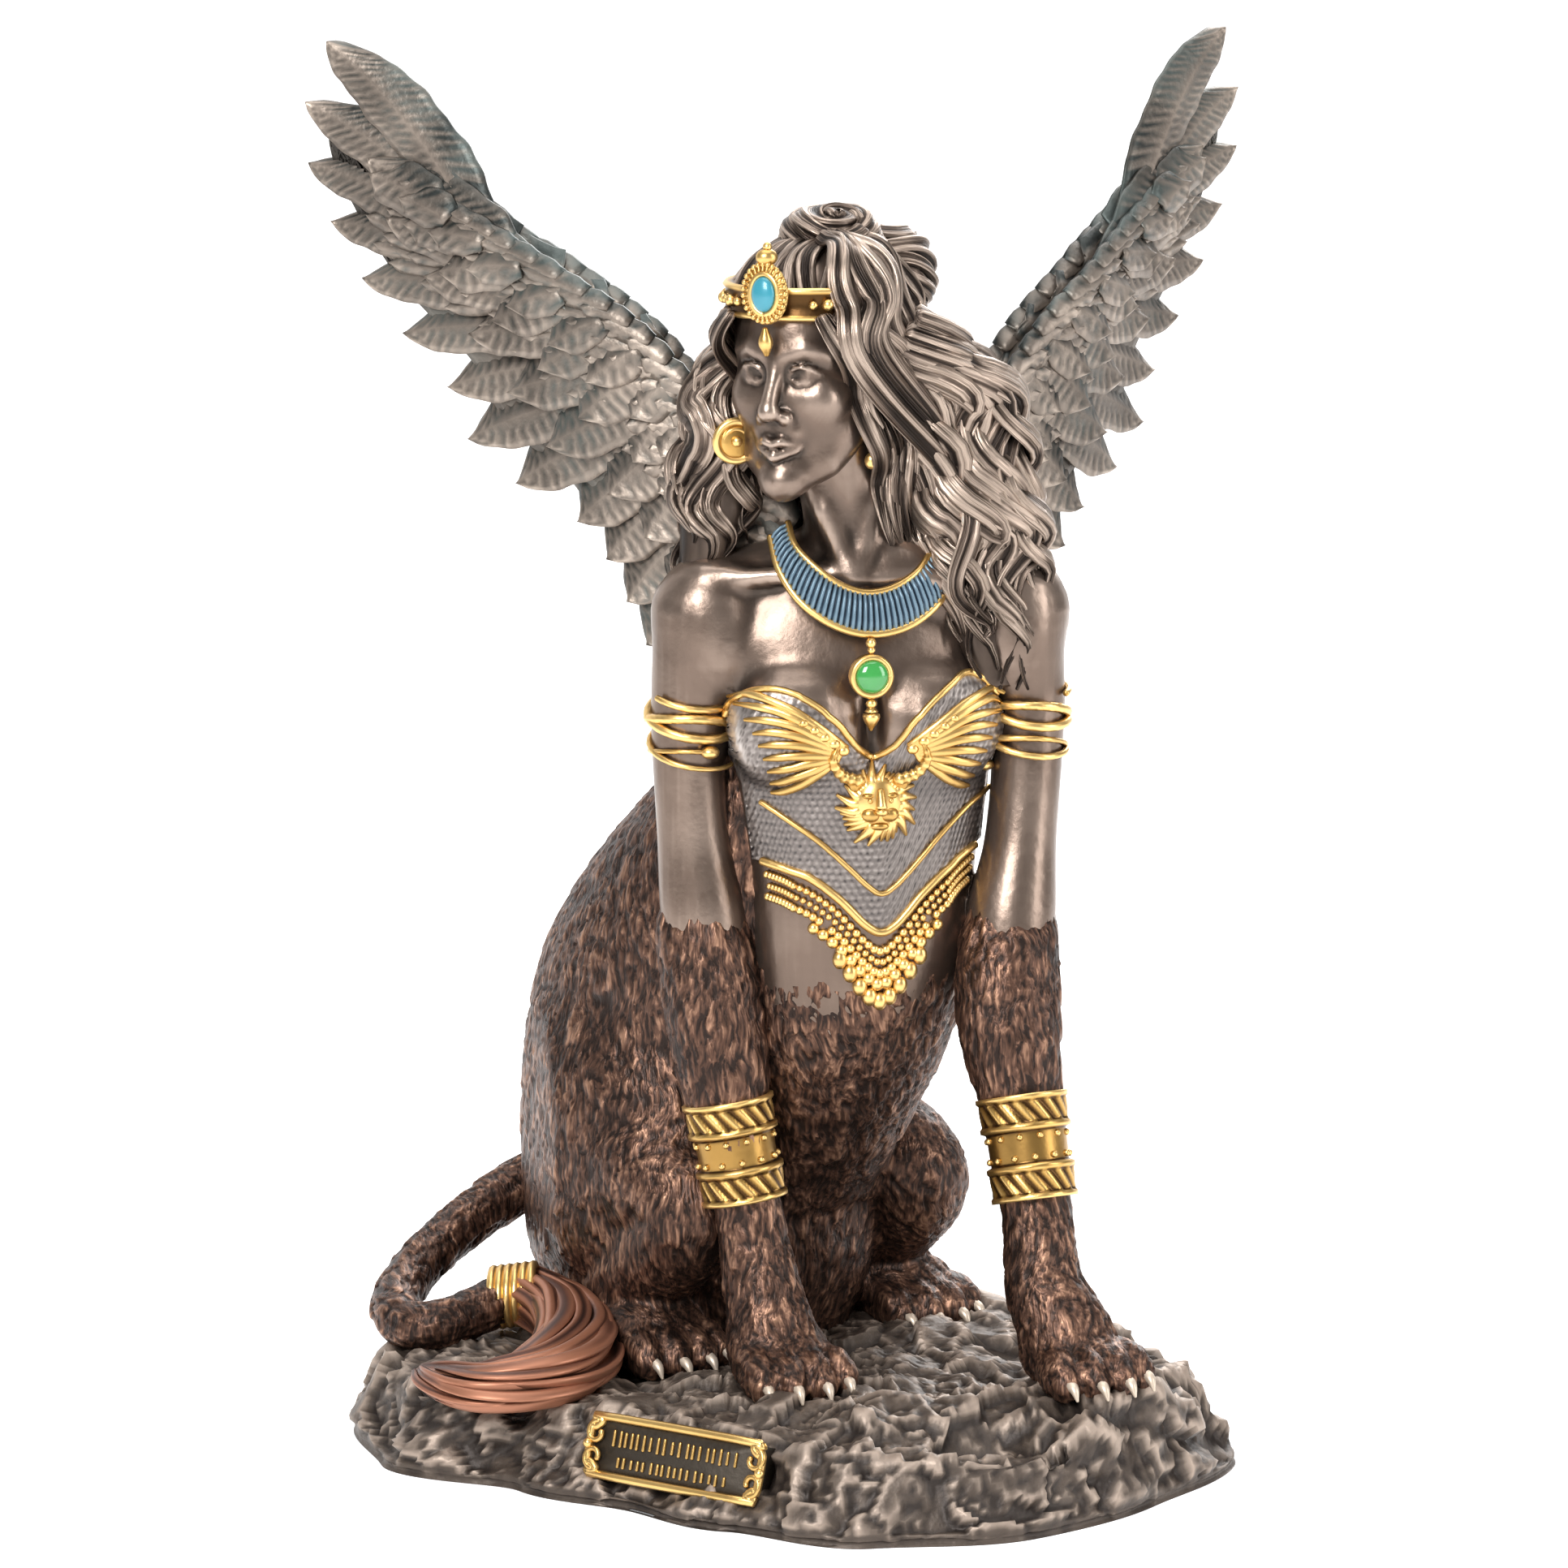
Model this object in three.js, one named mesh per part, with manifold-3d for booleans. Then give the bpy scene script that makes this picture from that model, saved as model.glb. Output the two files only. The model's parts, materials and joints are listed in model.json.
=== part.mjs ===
// A seated, winged sphinx on a rocky base, cast in one piece and 240 mm high.
// Millimetres, +Z up. The origin is under the middle of the base, and the chest faces -Y.
import * as THREE from "three";
import Module from "manifold-3d";
import { mergeVertices } from "three/addons/utils/BufferGeometryUtils.js";

const wasm = await Module();
wasm.setup();

// ---- driving dimensions ----
const baseTop = 14; // the rock's usual height
const baseSides = 36;
// The rim's distance from the origin, every 22.5 degrees from +X.
const rim = [66, 56, 54, 60, 66, 68, 72, 75.5, 70, 54, 50, 56, 66.5, 72, 73, 77.5];
const chest = { x: 12.5, y: -3 }; // the middle of the waist and chest
const lion = { x: 12.5, y: -3, turn: 24 }; // the lion's line: its back runs away from the chest, turned
const head = { x: 5.5, y: -5, z: 187, turn: -38 }; // the face looks over the right shoulder
const wingMiddle = 12.8;
const finest = 0.03; // edges shorter than this are merged after the join
const plate = { x: -27.5, y: -40.6, z: 9.8, turn: -46, lean: 17, width: 36, height: 11.5, thick: 6.6 };

const rad = THREE.MathUtils.degToRad;
const clamp = THREE.MathUtils.clamp;
const point = (x, y, z) => new THREE.Vector3(x, y, z);
const up = point(0, 0, 1);

// ---- places ----
// A place given in a frame that stands at (x, y) and is turned about Z. What follows x and y is kept.
function turned({ x, y, turn }, [px, py, ...rest]) {
  const c = Math.cos(rad(turn));
  const s = Math.sin(rad(turn));
  return [x + px * c - py * s, y + px * s + py * c, ...rest];
}
const onChest = ([px, py, ...rest]) => [chest.x + px, chest.y + py, ...rest];
const onLion = (place) => turned(lion, place); // x: towards her left, y: back from the chest
const onHead = ([px, py, pz, ...rest]) => turned(head, [px, py, head.z + pz, ...rest]);

// ---- solids ----
function solid(geometry) {
  const bare = geometry.clone();
  for (const name of Object.keys(bare.attributes)) {
    if (name !== "position") bare.deleteAttribute(name);
  }
  const merged = mergeVertices(bare, 1e-4);
  const mesh = new wasm.Mesh({
    numProp: 3,
    vertProperties: new Float32Array(merged.attributes.position.array),
    triVerts: new Uint32Array(merged.index.array),
  });
  return new wasm.Manifold(mesh);
}

const join = (solids) => solids.flat(Infinity).reduce((sum, next) => sum.add(next));

// Turns a closed geometry's faces outwards.
function outward(geometry) {
  const at = geometry.attributes.position;
  const index = geometry.index.array;
  const corner = (i) => new THREE.Vector3().fromBufferAttribute(at, index[i]);
  let volume = 0;
  for (let i = 0; i < index.length; i += 3) {
    volume += corner(i).dot(corner(i + 1).cross(corner(i + 2)));
  }
  if (volume < 0) {
    for (let i = 0; i < index.length; i += 3) {
      [index[i + 1], index[i + 2]] = [index[i + 2], index[i + 1]];
    }
  }
  return geometry;
}

function indexed(places, faces) {
  const geometry = new THREE.BufferGeometry();
  geometry.setFromPoints(places);
  geometry.setIndex(faces);
  return outward(geometry);
}

// Rings of points, all the same count, joined in order and closed at both ends by a fan.
function loft(rings) {
  const sides = rings[0].length;
  const middle = (ring) => ring.reduce((sum, p) => sum.add(p), point(0, 0, 0)).divideScalar(sides);
  const places = [...rings.flat(), middle(rings[0]), middle(rings.at(-1))];
  const faces = [];
  const end = (rings.length - 1) * sides;
  for (let side = 0; side < sides; side++) {
    const next = (side + 1) % sides;
    for (let ring = 0; ring < end; ring += sides) {
      faces.push(ring + side, ring + next, ring + next + sides);
      faces.push(ring + side, ring + next + sides, ring + side + sides);
    }
    faces.push(places.length - 2, next, side);
    faces.push(end + side, end + next, places.length - 1);
  }
  return solid(indexed(places, faces));
}

// Level ovals, one above another: [x, y, z, half width, half depth], turned about Z.
function stack(levels, { sides = 14, turn = 0, steps = levels.length - 1, grooves = 0, groove = 0 } = {}) {
  const path = new THREE.CatmullRomCurve3(levels.map(([x, y, z]) => point(x, y, z)));
  const size = new THREE.CatmullRomCurve3(levels.map(([, , , width, depth]) => point(width, depth, 0)));
  const rings = [];
  for (let step = 0; step <= steps; step++) {
    const at = path.getPoint(step / steps);
    const { x: width, y: depth } = size.getPoint(step / steps);
    const ring = [];
    for (let i = 0; i < sides; i++) {
      const angle = (i / sides) * 2 * Math.PI;
      const cut = grooves ? 1 - groove * (i % 2) * (1 - 0.5 * (step % 2)) : 1;
      const [x, y] = turned({ x: at.x, y: at.y, turn }, [
        Math.cos(angle) * width * cut, Math.sin(angle) * depth * cut,
      ]);
      ring.push(point(x, y, at.z));
    }
    rings.push(ring);
  }
  return loft(rings);
}

// A rounded limb through stations [x, y, z, half width, half depth]. The depth lies along `front`.
function limb(stations, { sides = 10, steps = 8, front = point(0, -1, 0), round = 0.7 } = {}) {
  const path = new THREE.CatmullRomCurve3(stations.map(([x, y, z]) => point(x, y, z)));
  const size = new THREE.CatmullRomCurve3(stations.map(([, , , w, d = w]) => point(w, d, 0)));
  const rings = [];
  const ring = (share, scale, shift) => {
    const tangent = path.getTangent(share);
    const across = point(0, 0, 0).crossVectors(front, tangent).normalize();
    const deep = point(0, 0, 0).crossVectors(tangent, across).normalize();
    const { x: width, y: depth } = size.getPoint(share);
    const at = path.getPoint(share).addScaledVector(tangent, shift * Math.min(width, depth) * round);
    const made = [];
    for (let i = 0; i < sides; i++) {
      const angle = (i / sides) * 2 * Math.PI;
      const x = Math.cos(angle) * width * scale;
      const y = Math.sin(angle) * depth * scale;
      made.push(at.clone().addScaledVector(across, x).addScaledVector(deep, y));
    }
    rings.push(made);
  };
  ring(0, 0.5, -0.8);
  for (let step = 0; step <= steps; step++) ring(step / steps, 1, 0);
  ring(1, 0.5, 0.8);
  return loft(rings);
}

function ellipsoid([x, y, z], [rx, ry, rz], { turn = [0, 0, 0], sides = 12, rings = 8 } = {}) {
  const ball = new THREE.SphereGeometry(1, sides, rings);
  ball.rotateX(Math.PI / 2);
  ball.scale(rx, ry, rz);
  ball.applyMatrix4(new THREE.Matrix4().makeRotationFromEuler(new THREE.Euler(...turn.map(rad), "ZYX")));
  ball.translate(x, y, z);
  return solid(ball);
}

// ---- rocky base ----
function rimAt(angle) {
  const place = (angle / (2 * Math.PI)) * rim.length;
  const low = Math.floor(place);
  const share = place - low;
  return THREE.MathUtils.lerp(rim[low % rim.length], rim[(low + 1) % rim.length], share * share * (3 - 2 * share));
}

// How far the wall leans in by its top. It lies back most behind the name plate.
const leanAt = (angle) => 0.07 + 0.17 * Math.max(0, Math.cos(angle - rad(-125))) ** 8;

// Ledges of rock: [x, y, half length, half width, height above the usual top, turn].
const ledges = [
  [46, -38, 25, 17, 4.6, 30], [12, -42, 22, 9, 3, 15], [27, -54, 18, 8, -3.5, 20], [-8, -22, 20, 12, 1.4, -30],
  [60, -8, 14, 20, 1.5, 10], [30, 26, 22, 26, 2.4, 0], [-50, 14, 16, 26, 1.6, 15], [-10, 40, 34, 20, 2.6, 0],
  [-44, -10, 10, 10, -2.5, 0], [64, -34, 12, 9, -4, 40],
];
function rockHeight(x, y) {
  let height = baseTop;
  for (const [lx, ly, length, width, rise, turn] of ledges) {
    const [px, py] = turned({ x: 0, y: 0, turn: -turn }, [x - lx, y - ly]);
    height += rise * clamp(2.6 * (1 - Math.hypot(px / length, py / width)), 0, 1);
  }
  return height + 0.5 * Math.sin(x * 0.31 + y * 0.17) * Math.sin(y * 0.27 - x * 0.11);
}

function base() {
  // The wall as shares of its lean and of the height, then the top as shares of its own edge.
  const wall = [[0.25, 0], [0, 0.15], [0.5, 0.5], [1, 0.92]];
  const top = [0.91, 0.77, 0.62, 0.46, 0.3, 0.13];
  const ring = (inward, share, rise, level) => {
    const made = [];
    for (let i = 0; i < baseSides; i++) {
      const angle = (i / baseSides) * 2 * Math.PI;
      const rough = level > 1 ? 1 + 0.016 * Math.sin(angle * 9 + level * 2.1) : 1;
      const reach = rimAt(angle) * (1 - leanAt(angle) * inward) * share * rough;
      const x = reach * Math.cos(angle);
      const y = reach * Math.sin(angle);
      made.push(point(x, y, rise * rockHeight(x, y)));
    }
    return made;
  };
  const walls = wall.map(([inward, rise], level) => ring(inward, 1, rise, level));
  return loft([...walls, ...top.map((share, level) => ring(1, share, 1, level + wall.length))]);
}

// The name plate leans on the rim: a raised frame with hollow corners round a sunk field.
function namePlate() {
  const outline = (width, height, nick) => {
    const shape = new THREE.Shape();
    shape.moveTo(-width / 2 + nick, -height / 2);
    shape.lineTo(width / 2 - nick, -height / 2);
    shape.absarc(width / 2, -height / 2, nick, Math.PI, Math.PI / 2, true);
    shape.lineTo(width / 2, height / 2 - nick);
    shape.absarc(width / 2, height / 2, nick, -Math.PI / 2, -Math.PI, true);
    shape.lineTo(-width / 2 + nick, height / 2);
    shape.absarc(-width / 2, height / 2, nick, 0, -Math.PI / 2, true);
    shape.lineTo(-width / 2, -height / 2 + nick);
    shape.absarc(-width / 2, -height / 2, nick, Math.PI / 2, 0, true);
    return shape;
  };
  const slab = (width, height, thick, from) => {
    const made = new THREE.ExtrudeGeometry(outline(width, height, 1.8), {
      depth: thick, bevelEnabled: false, curveSegments: 2,
    });
    made.translate(0, 0, from);
    made.rotateX(Math.PI / 2 - rad(plate.lean));
    made.rotateZ(rad(plate.turn));
    made.translate(plate.x, plate.y, plate.z);
    return solid(made);
  };
  const { width, height, thick } = plate;
  return slab(width, height, thick, -thick).subtract(slab(width - 2.6, height - 2.6, thick, -0.7));
}

// ---- paws ----
// A low pad with four toes and their claws. The toes point along the frame's -Y.
function paw([x, y, z], turn) {
  const at = { x, y, turn };
  const toes = [-7, -2.5, 2.5, 7].map((across) => {
    const ahead = -8.6 + Math.abs(across) * 0.42;
    const [tx, ty] = turned(at, [across, ahead]);
    const [cx, cy] = turned(at, [across * 1.04, ahead - 4.6]);
    const spike = new THREE.ConeGeometry(1, 4.4, 3);
    spike.rotateX(rad(-125));
    spike.rotateZ(rad(turn));
    spike.translate(cx, cy, z - 2);
    return [ellipsoid([tx, ty, z - 0.8], [3.1, 5.2, 4], { turn: [16, 0, turn], sides: 6, rings: 3 }), solid(spike)];
  });
  return [ellipsoid([x, y, z], [9.4, 9.4, 6.4], { turn: [10, 0, turn], sides: 8, rings: 5 }), toes];
}

// ---- the lion ----
function hindquarters() {
  // Level ovals round the lion's line: [back from the chest, height, half width, half length].
  const trunk = [
    [46, 10, 24, 26], [47, 26, 29, 33], [46, 45, 30.5, 36], [43, 62, 31, 37], [38, 78, 30.5, 37.5],
    [31, 92, 28, 35], [23, 106, 24.5, 28], [14, 120, 19.5, 19], [8, 134, 14, 9],
  ];
  const haunch = (side, across) => [
    ellipsoid(onLion([side * across, 42, 49]), [14.8, 28, 30], { turn: [10, 0, lion.turn], sides: 12, rings: 8 }),
    limb([onLion([side * (across + 2), 26, 47, 12, 12]), onLion([side * 24, 17, 40, 9.6, 10]), onLion([side * 26, 32, 24, 7, 7])],
      { sides: 8, steps: 3 }),
    limb([onLion([side * 26, 46, 20, 6.5, 6]), onLion([side * 27, 22, 19, 9, 6])], { sides: 8, steps: 2, front: up }),
    paw(onLion([side * 27, 22, 18]), lion.turn),
  ];
  const rings = trunk.map(([back, z, width, length]) => onLion([0, back, z, width, length]));
  return [stack(rings, { sides: 16, turn: lion.turn }), haunch(-1, 21.5), haunch(1, 16.5)];
}

const rightArm = [
  [-14.6, 0.5, 145, 7.6], [-16, 0.5, 126, 6.9], [-15.4, 0, 108, 6.6], [-13.8, -1, 92, 8.6, 8], [-12.6, -3, 76, 8.8, 8],
  [-10.6, -6, 58, 6.6], [-8.2, -8, 43, 5.8], [-6.6, -10.5, 32, 6.4], [-5.2, -14, 22, 8, 7],
];
const leftArm = [
  [39, -6.5, 144, 7.4], [39.6, -8, 124, 6.8], [37.8, -10, 106, 6.6], [35.6, -12.5, 92, 9, 8], [34.8, -16, 78, 9, 8],
  [36.6, -20, 60, 6.8], [38, -24.5, 44, 6], [38.4, -28, 33, 6.6], [41, -33, 25, 8, 7],
];

function forelegs() {
  const cuff = (from, to) => limb([[...from, 7.6, 7.6], [...to, 7.2, 7.2]], { steps: 1, round: 0.06 });
  return [
    limb(rightArm, { steps: 9 }), paw([-3.6, -17.5, 18.6], 10),
    limb(leftArm, { steps: 9 }), paw([42.6, -36, 21.5], 16),
    cuff([-11.2, -5.4, 62], [-8.6, -7.6, 45]), cuff([36.4, -19.4, 63.5], [37.8, -24, 46.5]),
  ];
}

// ---- the woman ----
function torso() {
  // [x, y, height, half width, half depth]
  const trunk = [
    [-7, 18, 40, 12, 9], [-4, 10, 55, 15, 11], [-1.6, 3.4, 70, 17.6, 12], [0, 0, 84, 18.8, 12], [0, -0.5, 99, 19.2, 12], [0, 0, 112, 20.6, 12.4], [0, 0.5, 124, 22.6, 12.8],
    [-0.4, 1, 134, 24.2, 12.4], [-1, 1.4, 142, 24, 10.8], [-2, 1.8, 149, 18, 8.6], [-3, 1.8, 153.5, 9, 6.4],
  ];
  const breast = (side) => ellipsoid(
    onChest([side * 11.4 - 0.8, -7.6, 126.5]), [12.2, 8.2, 10.8], { sides: 10, rings: 6 },
  );
  const shoulder = (x, y, side) => [
    ellipsoid([x, y, 144.5], [8.6, 8.2, 9.4], { sides: 8, rings: 6 }),
    limb([[x - side * 24, y + side * -2 + 1, 153, 5.6, 6.6], [x - side * 12, y + 0.6, 149.6, 6.6, 7.2], [x, y, 146, 7]],
      { sides: 8, steps: 2, front: up }),
  ];
  return [
    stack(trunk.map(onChest), { sides: 14 }),
    breast(-1), breast(1),
    shoulder(-13.6, 0.5, -1), shoulder(38.6, -6.2, 1),
    limb([[11, 0, 148, 8.4, 8], [9.8, -3, 157, 7.2, 7.4], [8, -4, 168, 7.2, 8], [6.5, -4, 178, 8, 9]],
      { sides: 10, steps: 3 }),
  ];
}

function headAndFace() {
  const turn = [0, 0, head.turn];
  return [
    ellipsoid(onHead([0, 1.5, 4]), [12.4, 15, 15], { turn, rings: 7 }),
    ellipsoid(onHead([0, -3.4, -6.5]), [9.6, 9.6, 12.8], { turn }),
    ellipsoid(onHead([0, -9.4, -17.2]), [4.4, 3.6, 3.4], { turn, sides: 7, rings: 5 }),
    limb([onHead([0, -12, 1, 1.5, 1.4]), onHead([0, -14.6, -5.6, 2, 1.9])], { sides: 6, steps: 1 }),
    ellipsoid(onHead([0, -12.2, -10.8]), [3.6, 1.6, 1.7], { turn, sides: 7, rings: 4 }),
    // the band round the brow, with its jewel
    stack([onHead([0, 1, 8, 14.2, 16]), onHead([0, 1, 13.4, 13.8, 15.6])], { turn: head.turn }),
    ellipsoid(onHead([0, -14.4, 12.6]), [3.4, 1.8, 4.6], { turn, sides: 7, rings: 4 }),
  ];
}

// ---- hair ----
// Each lock starts on the scalp and swings from side to side on its way to its tip.
function lock([from, through, to, width, swing = 1.6]) {
  const path = new THREE.QuadraticBezierCurve3(point(...from), point(...through), point(...to));
  const across = point(...to).sub(point(...from)).cross(point(0, -1, 0)).normalize();
  const waves = 4;
  const stations = [];
  for (let i = 0; i <= waves; i++) {
    const at = path.getPoint(i / waves).addScaledVector(across, i ? swing * (i % 2 ? 1 : -1) : 0);
    const thick = width * (1 - 0.6 * (i / waves) ** 2);
    stations.push([at.x, at.y, at.z, thick, thick * 0.62]);
  }
  return limb(stations, { sides: 5, steps: waves + 1 });
}

function hair() {
  const turn = head.turn;
  const grooves = 1;
  const masses = [
    // the cap of hair, combed back to the knot
    stack([onHead([0, 7, -8, 13, 10]), onHead([0, 5, 4, 15.6, 15]), onHead([0, 4, 13, 15, 14.6]), onHead([0, 5, 19, 9.6, 10])],
      { sides: 14, steps: 3, turn, grooves, groove: 0.06 }),
    // the fall over the left shoulder, the fall over the right one and the one between the wings
    stack([onHead([9, 2, 8, 9.5, 9.5]), [25.5, -4, 182, 10.4, 9], [29.6, -6, 164, 11, 8], [31.6, -8.4, 149, 9.6, 6.6], [33, -11, 134, 5, 4]],
      { sides: 12, steps: 6, grooves, groove: 0.14 }),
    stack([onHead([-9, 4, 8, 5, 7]), [-9.6, 2, 180, 7, 6.6], [-11.6, 2, 164, 7.8, 6.4], [-13.4, 2, 152, 6, 5]],
      { sides: 8, steps: 4, grooves, groove: 0.14 }),
    stack([onHead([0, 14, 6, 11, 9]), [14, 8.4, 175, 15, 9], [13, 13, 156, 13, 6], [12, 15, 136, 7, 3.4]],
      { sides: 12, steps: 4, grooves, groove: 0.1 }),
    ellipsoid([9, -1, 206], [8.6, 8, 7], { sides: 8, rings: 5 }),
    ellipsoid([17.6, 4, 200], [8.6, 8, 8.4], { sides: 8, rings: 5 }),
  ];
  const locks = [
    [onHead([5, -10, 12]), [24, -13, 190], [30, -14, 140], 3.4],
    [onHead([8, -6, 12]), [33, -10, 186], [37, -12, 150], 3.6, 2],
    [onHead([10, 0, 10]), [38, -3, 180], [39, -4, 148], 3.4, 2],
    [onHead([-9, -4, 10]), [-15, -4, 186], [-14, -2, 154], 3, 1.6],
    [onHead([0, -12, 14]), [3, -6, 216], [15, 3, 206], 3.8, 0.5],
  ];
  return [masses, locks.map(lock)];
}

// ---- wings ----
const curve = (pairs) => new THREE.SplineCurve(pairs.map(([x, y]) => new THREE.Vector2(x, y)));
// How far back a wing lies at each distance from the middle of the back.
const wingPlan = curve([[10, 7], [22, 10], [32, 14.5], [42, 22], [55, 38], [68, 53.5], [80, 66], [90, 75]]);
// The wing's bone and the line of its feathers' tips: [distance from the middle, height].
const bone = curve([[12, 158], [20, 170], [27, 179], [35, 189], [45, 197], [55, 204], [64, 210], [71, 217]]);
const tips = curve([[27, 130], [34, 138], [38, 149], [44, 158], [57, 166.5], [62, 179], [72, 192], [79, 206], [83, 221], [79, 238]]);

// A place on a wing, `lift` in front of its middle face.
function onWing(side, out, z, lift = 0) {
  let low = 0;
  let high = 1;
  for (let i = 0; i < 20; i++) {
    const middle = (low + high) / 2;
    if (wingPlan.getPoint(middle).x < out) low = middle;
    else high = middle;
  }
  const at = wingPlan.getPoint(low);
  const slope = wingPlan.getTangent(low);
  return point(wingMiddle + side * (at.x + slope.y * lift), at.y - slope.x * lift, z);
}

// Feathers side by side, each rising across its blade to the next one, with free rounded tips.
function fan(side, { count, reach, front, back, rows, spread = 1 }) {
  const blade = [[0, 0.82], [0.45, 1], [0.93, 0.87]]; // place across a feather, and how far its edge runs
  const columns = [];
  for (let i = 0; i < count; i++) {
    for (const [place, run] of blade) {
      const share = (i + place) / (count - 1 + blade[1][0]);
      if (share > 1.001) continue;
      const from = bone.getPoint(share * spread);
      const to = tips.getPoint(share * spread);
      const bow = new THREE.Vector2(to.y - from.y, from.x - to.x).multiplyScalar(-0.07);
      columns.push(rows.map((row) => {
        const at = from.clone().lerp(to, reach * row * (row === 1 ? run : 1)).addScaledVector(bow, 4 * row * (1 - row));
        return [front, back].map(([base, step]) => onWing(side, at.x, at.y, base + step * place));
      }));
    }
  }
  const places = columns.flat(2);
  const lastColumn = columns.length - 1;
  const lastRow = rows.length - 1;
  const at = (column, row, face) => (column * rows.length + row) * 2 + face;
  const faces = [];
  const quad = (a, b, c, d) => faces.push(a, b, c, a, c, d);
  for (let column = 0; column < lastColumn; column++) {
    for (let row = 0; row < lastRow; row++) {
      quad(at(column, row, 0), at(column + 1, row, 0), at(column + 1, row + 1, 0), at(column, row + 1, 0));
      quad(at(column, row, 1), at(column, row + 1, 1), at(column + 1, row + 1, 1), at(column + 1, row, 1));
    }
    quad(at(column, 0, 0), at(column, 0, 1), at(column + 1, 0, 1), at(column + 1, 0, 0));
    quad(at(column, lastRow, 0), at(column + 1, lastRow, 0), at(column + 1, lastRow, 1), at(column, lastRow, 1));
  }
  for (let row = 0; row < lastRow; row++) {
    quad(at(0, row, 0), at(0, row + 1, 0), at(0, row + 1, 1), at(0, row, 1));
    quad(at(lastColumn, row, 0), at(lastColumn, row, 1), at(lastColumn, row + 1, 1), at(lastColumn, row + 1, 0));
  }
  return solid(indexed(places, faces));
}

function oneWing(side) {
  const arm = [0, 0.25, 0.5, 0.75, 0.88].map((share) => {
    const at = bone.getPoint(share);
    return [...onWing(side, at.x, at.y, 0.4).toArray(), 6.4 - 4.4 * share, 4.4 - 2.6 * share];
  });
  const flat = [0, 0];
  return [
    fan(side, { count: 10, reach: 1, front: [0.7, 1.3], back: [-0.9, -0.9], rows: [0, 0.5, 1] }),
    fan(side, { count: 7, reach: 0.64, front: [2.2, 1.2], back: flat, rows: [0, 1], spread: 0.84 }),
    fan(side, { count: 6, reach: 0.36, front: [3.6, 1.1], back: flat, rows: [0, 1], spread: 0.8 }),
    limb(arm, { sides: 7, steps: 5 }),
  ];
}

// ---- tail ----
function tail() {
  const cord = [
    [-16, 60, 40, 5.2], [-34, 60, 34, 4.8], [-50, 50, 27, 4.5], [-60, 38, 21.5, 4.3], [-63, 27, 19, 4.2],
    [-59, 20, 18.6, 4.2], [-51, 22, 20, 4.2], [-43, 26, 22, 4.2],
  ];
  const tuft = [
    [-41, 26, 22.4, 4.4, 4.2], [-36, 15, 21, 5.6, 4.8], [-36, 1, 19, 7.4, 5], [-43, -13, 18, 8, 4.6],
    [-54, -16, 17, 7, 4], [-61, -9, 16.6, 4.4, 3], [-63.4, -2, 16.4, 1.6, 1.4],
  ];
  return [
    limb(cord, { sides: 7, steps: 10, front: up }),
    limb(tuft, { sides: 7, steps: 8, front: up }),
    limb([[-46, 26, 21.6, 5.2], [-39.4, 24, 22.6, 5.4]], { sides: 7, steps: 1, front: up, round: 0.1 }),
  ];
}

// ---- assembly ----
function meshOf(name, made, material) {
  const { vertProperties, triVerts } = made.getMesh();
  const geometry = new THREE.BufferGeometry();
  geometry.setAttribute("position", new THREE.BufferAttribute(vertProperties, 3));
  geometry.setIndex(new THREE.BufferAttribute(triVerts, 1));
  geometry.computeVertexNormals();
  const mesh = new THREE.Mesh(geometry, material);
  mesh.name = name;
  return mesh;
}

const statue = join([
  base(), namePlate(), hindquarters(), forelegs(), tail(),
  torso(), headAndFace(), hair(), oneWing(-1), oneWing(1),
]).asOriginal().simplify(finest);
const bronze = new THREE.MeshStandardMaterial({ color: 0x6b574a, roughness: 0.38, metalness: 0.85 });
const sphinx = new THREE.Group();
sphinx.add(meshOf("sphinx_statue", statue, bronze));
export default sphinx;
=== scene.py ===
import json
import math
import bpy
import numpy as np
import openvdb
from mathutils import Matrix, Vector
from mathutils.bvhtree import BVHTree
from mathutils.kdtree import KDTree

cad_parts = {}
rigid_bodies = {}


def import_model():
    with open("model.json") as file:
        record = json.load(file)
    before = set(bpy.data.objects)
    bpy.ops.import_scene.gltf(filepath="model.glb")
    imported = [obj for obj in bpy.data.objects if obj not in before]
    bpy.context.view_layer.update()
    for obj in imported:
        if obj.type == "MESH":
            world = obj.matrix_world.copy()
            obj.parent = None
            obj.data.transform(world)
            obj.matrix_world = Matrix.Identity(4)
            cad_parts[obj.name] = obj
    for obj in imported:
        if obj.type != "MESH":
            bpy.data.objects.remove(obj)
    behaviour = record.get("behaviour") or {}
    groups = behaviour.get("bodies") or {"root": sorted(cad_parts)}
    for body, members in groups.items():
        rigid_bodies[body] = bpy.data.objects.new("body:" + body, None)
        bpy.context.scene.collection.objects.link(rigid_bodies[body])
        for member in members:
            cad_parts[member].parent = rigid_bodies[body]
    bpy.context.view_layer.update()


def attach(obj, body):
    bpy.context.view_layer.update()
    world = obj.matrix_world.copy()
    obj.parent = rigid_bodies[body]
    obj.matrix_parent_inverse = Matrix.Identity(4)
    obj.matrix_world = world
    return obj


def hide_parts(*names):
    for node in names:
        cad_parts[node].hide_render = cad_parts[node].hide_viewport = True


for start in list(bpy.data.objects):
    bpy.data.objects.remove(start)
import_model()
metre = 0.001  # everything is modelled in millimetres
chest = (12.5, -3.0)  # where the trunk stands
lionTurn = 24  # how far the lion's body is turned from the chest
parts = []


# Arithmetic
def unit(v):
    return v / np.maximum(np.linalg.norm(v, axis=-1, keepdims=True), 1e-9)


def smoothstep(low, high, x):
    t = np.clip((x - low) / (high - low), 0, 1)
    return t * t * (3 - 2 * t)


def turned(x, y, turn, place):
    c, s = math.cos(math.radians(turn)), math.sin(math.radians(turn))
    return [x + place[0] * c - place[1] * s, y + place[0] * s + place[1] * c, *place[2:]]


def onChest(place):
    return [chest[0] + place[0], chest[1] + place[1], *place[2:]]


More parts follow.
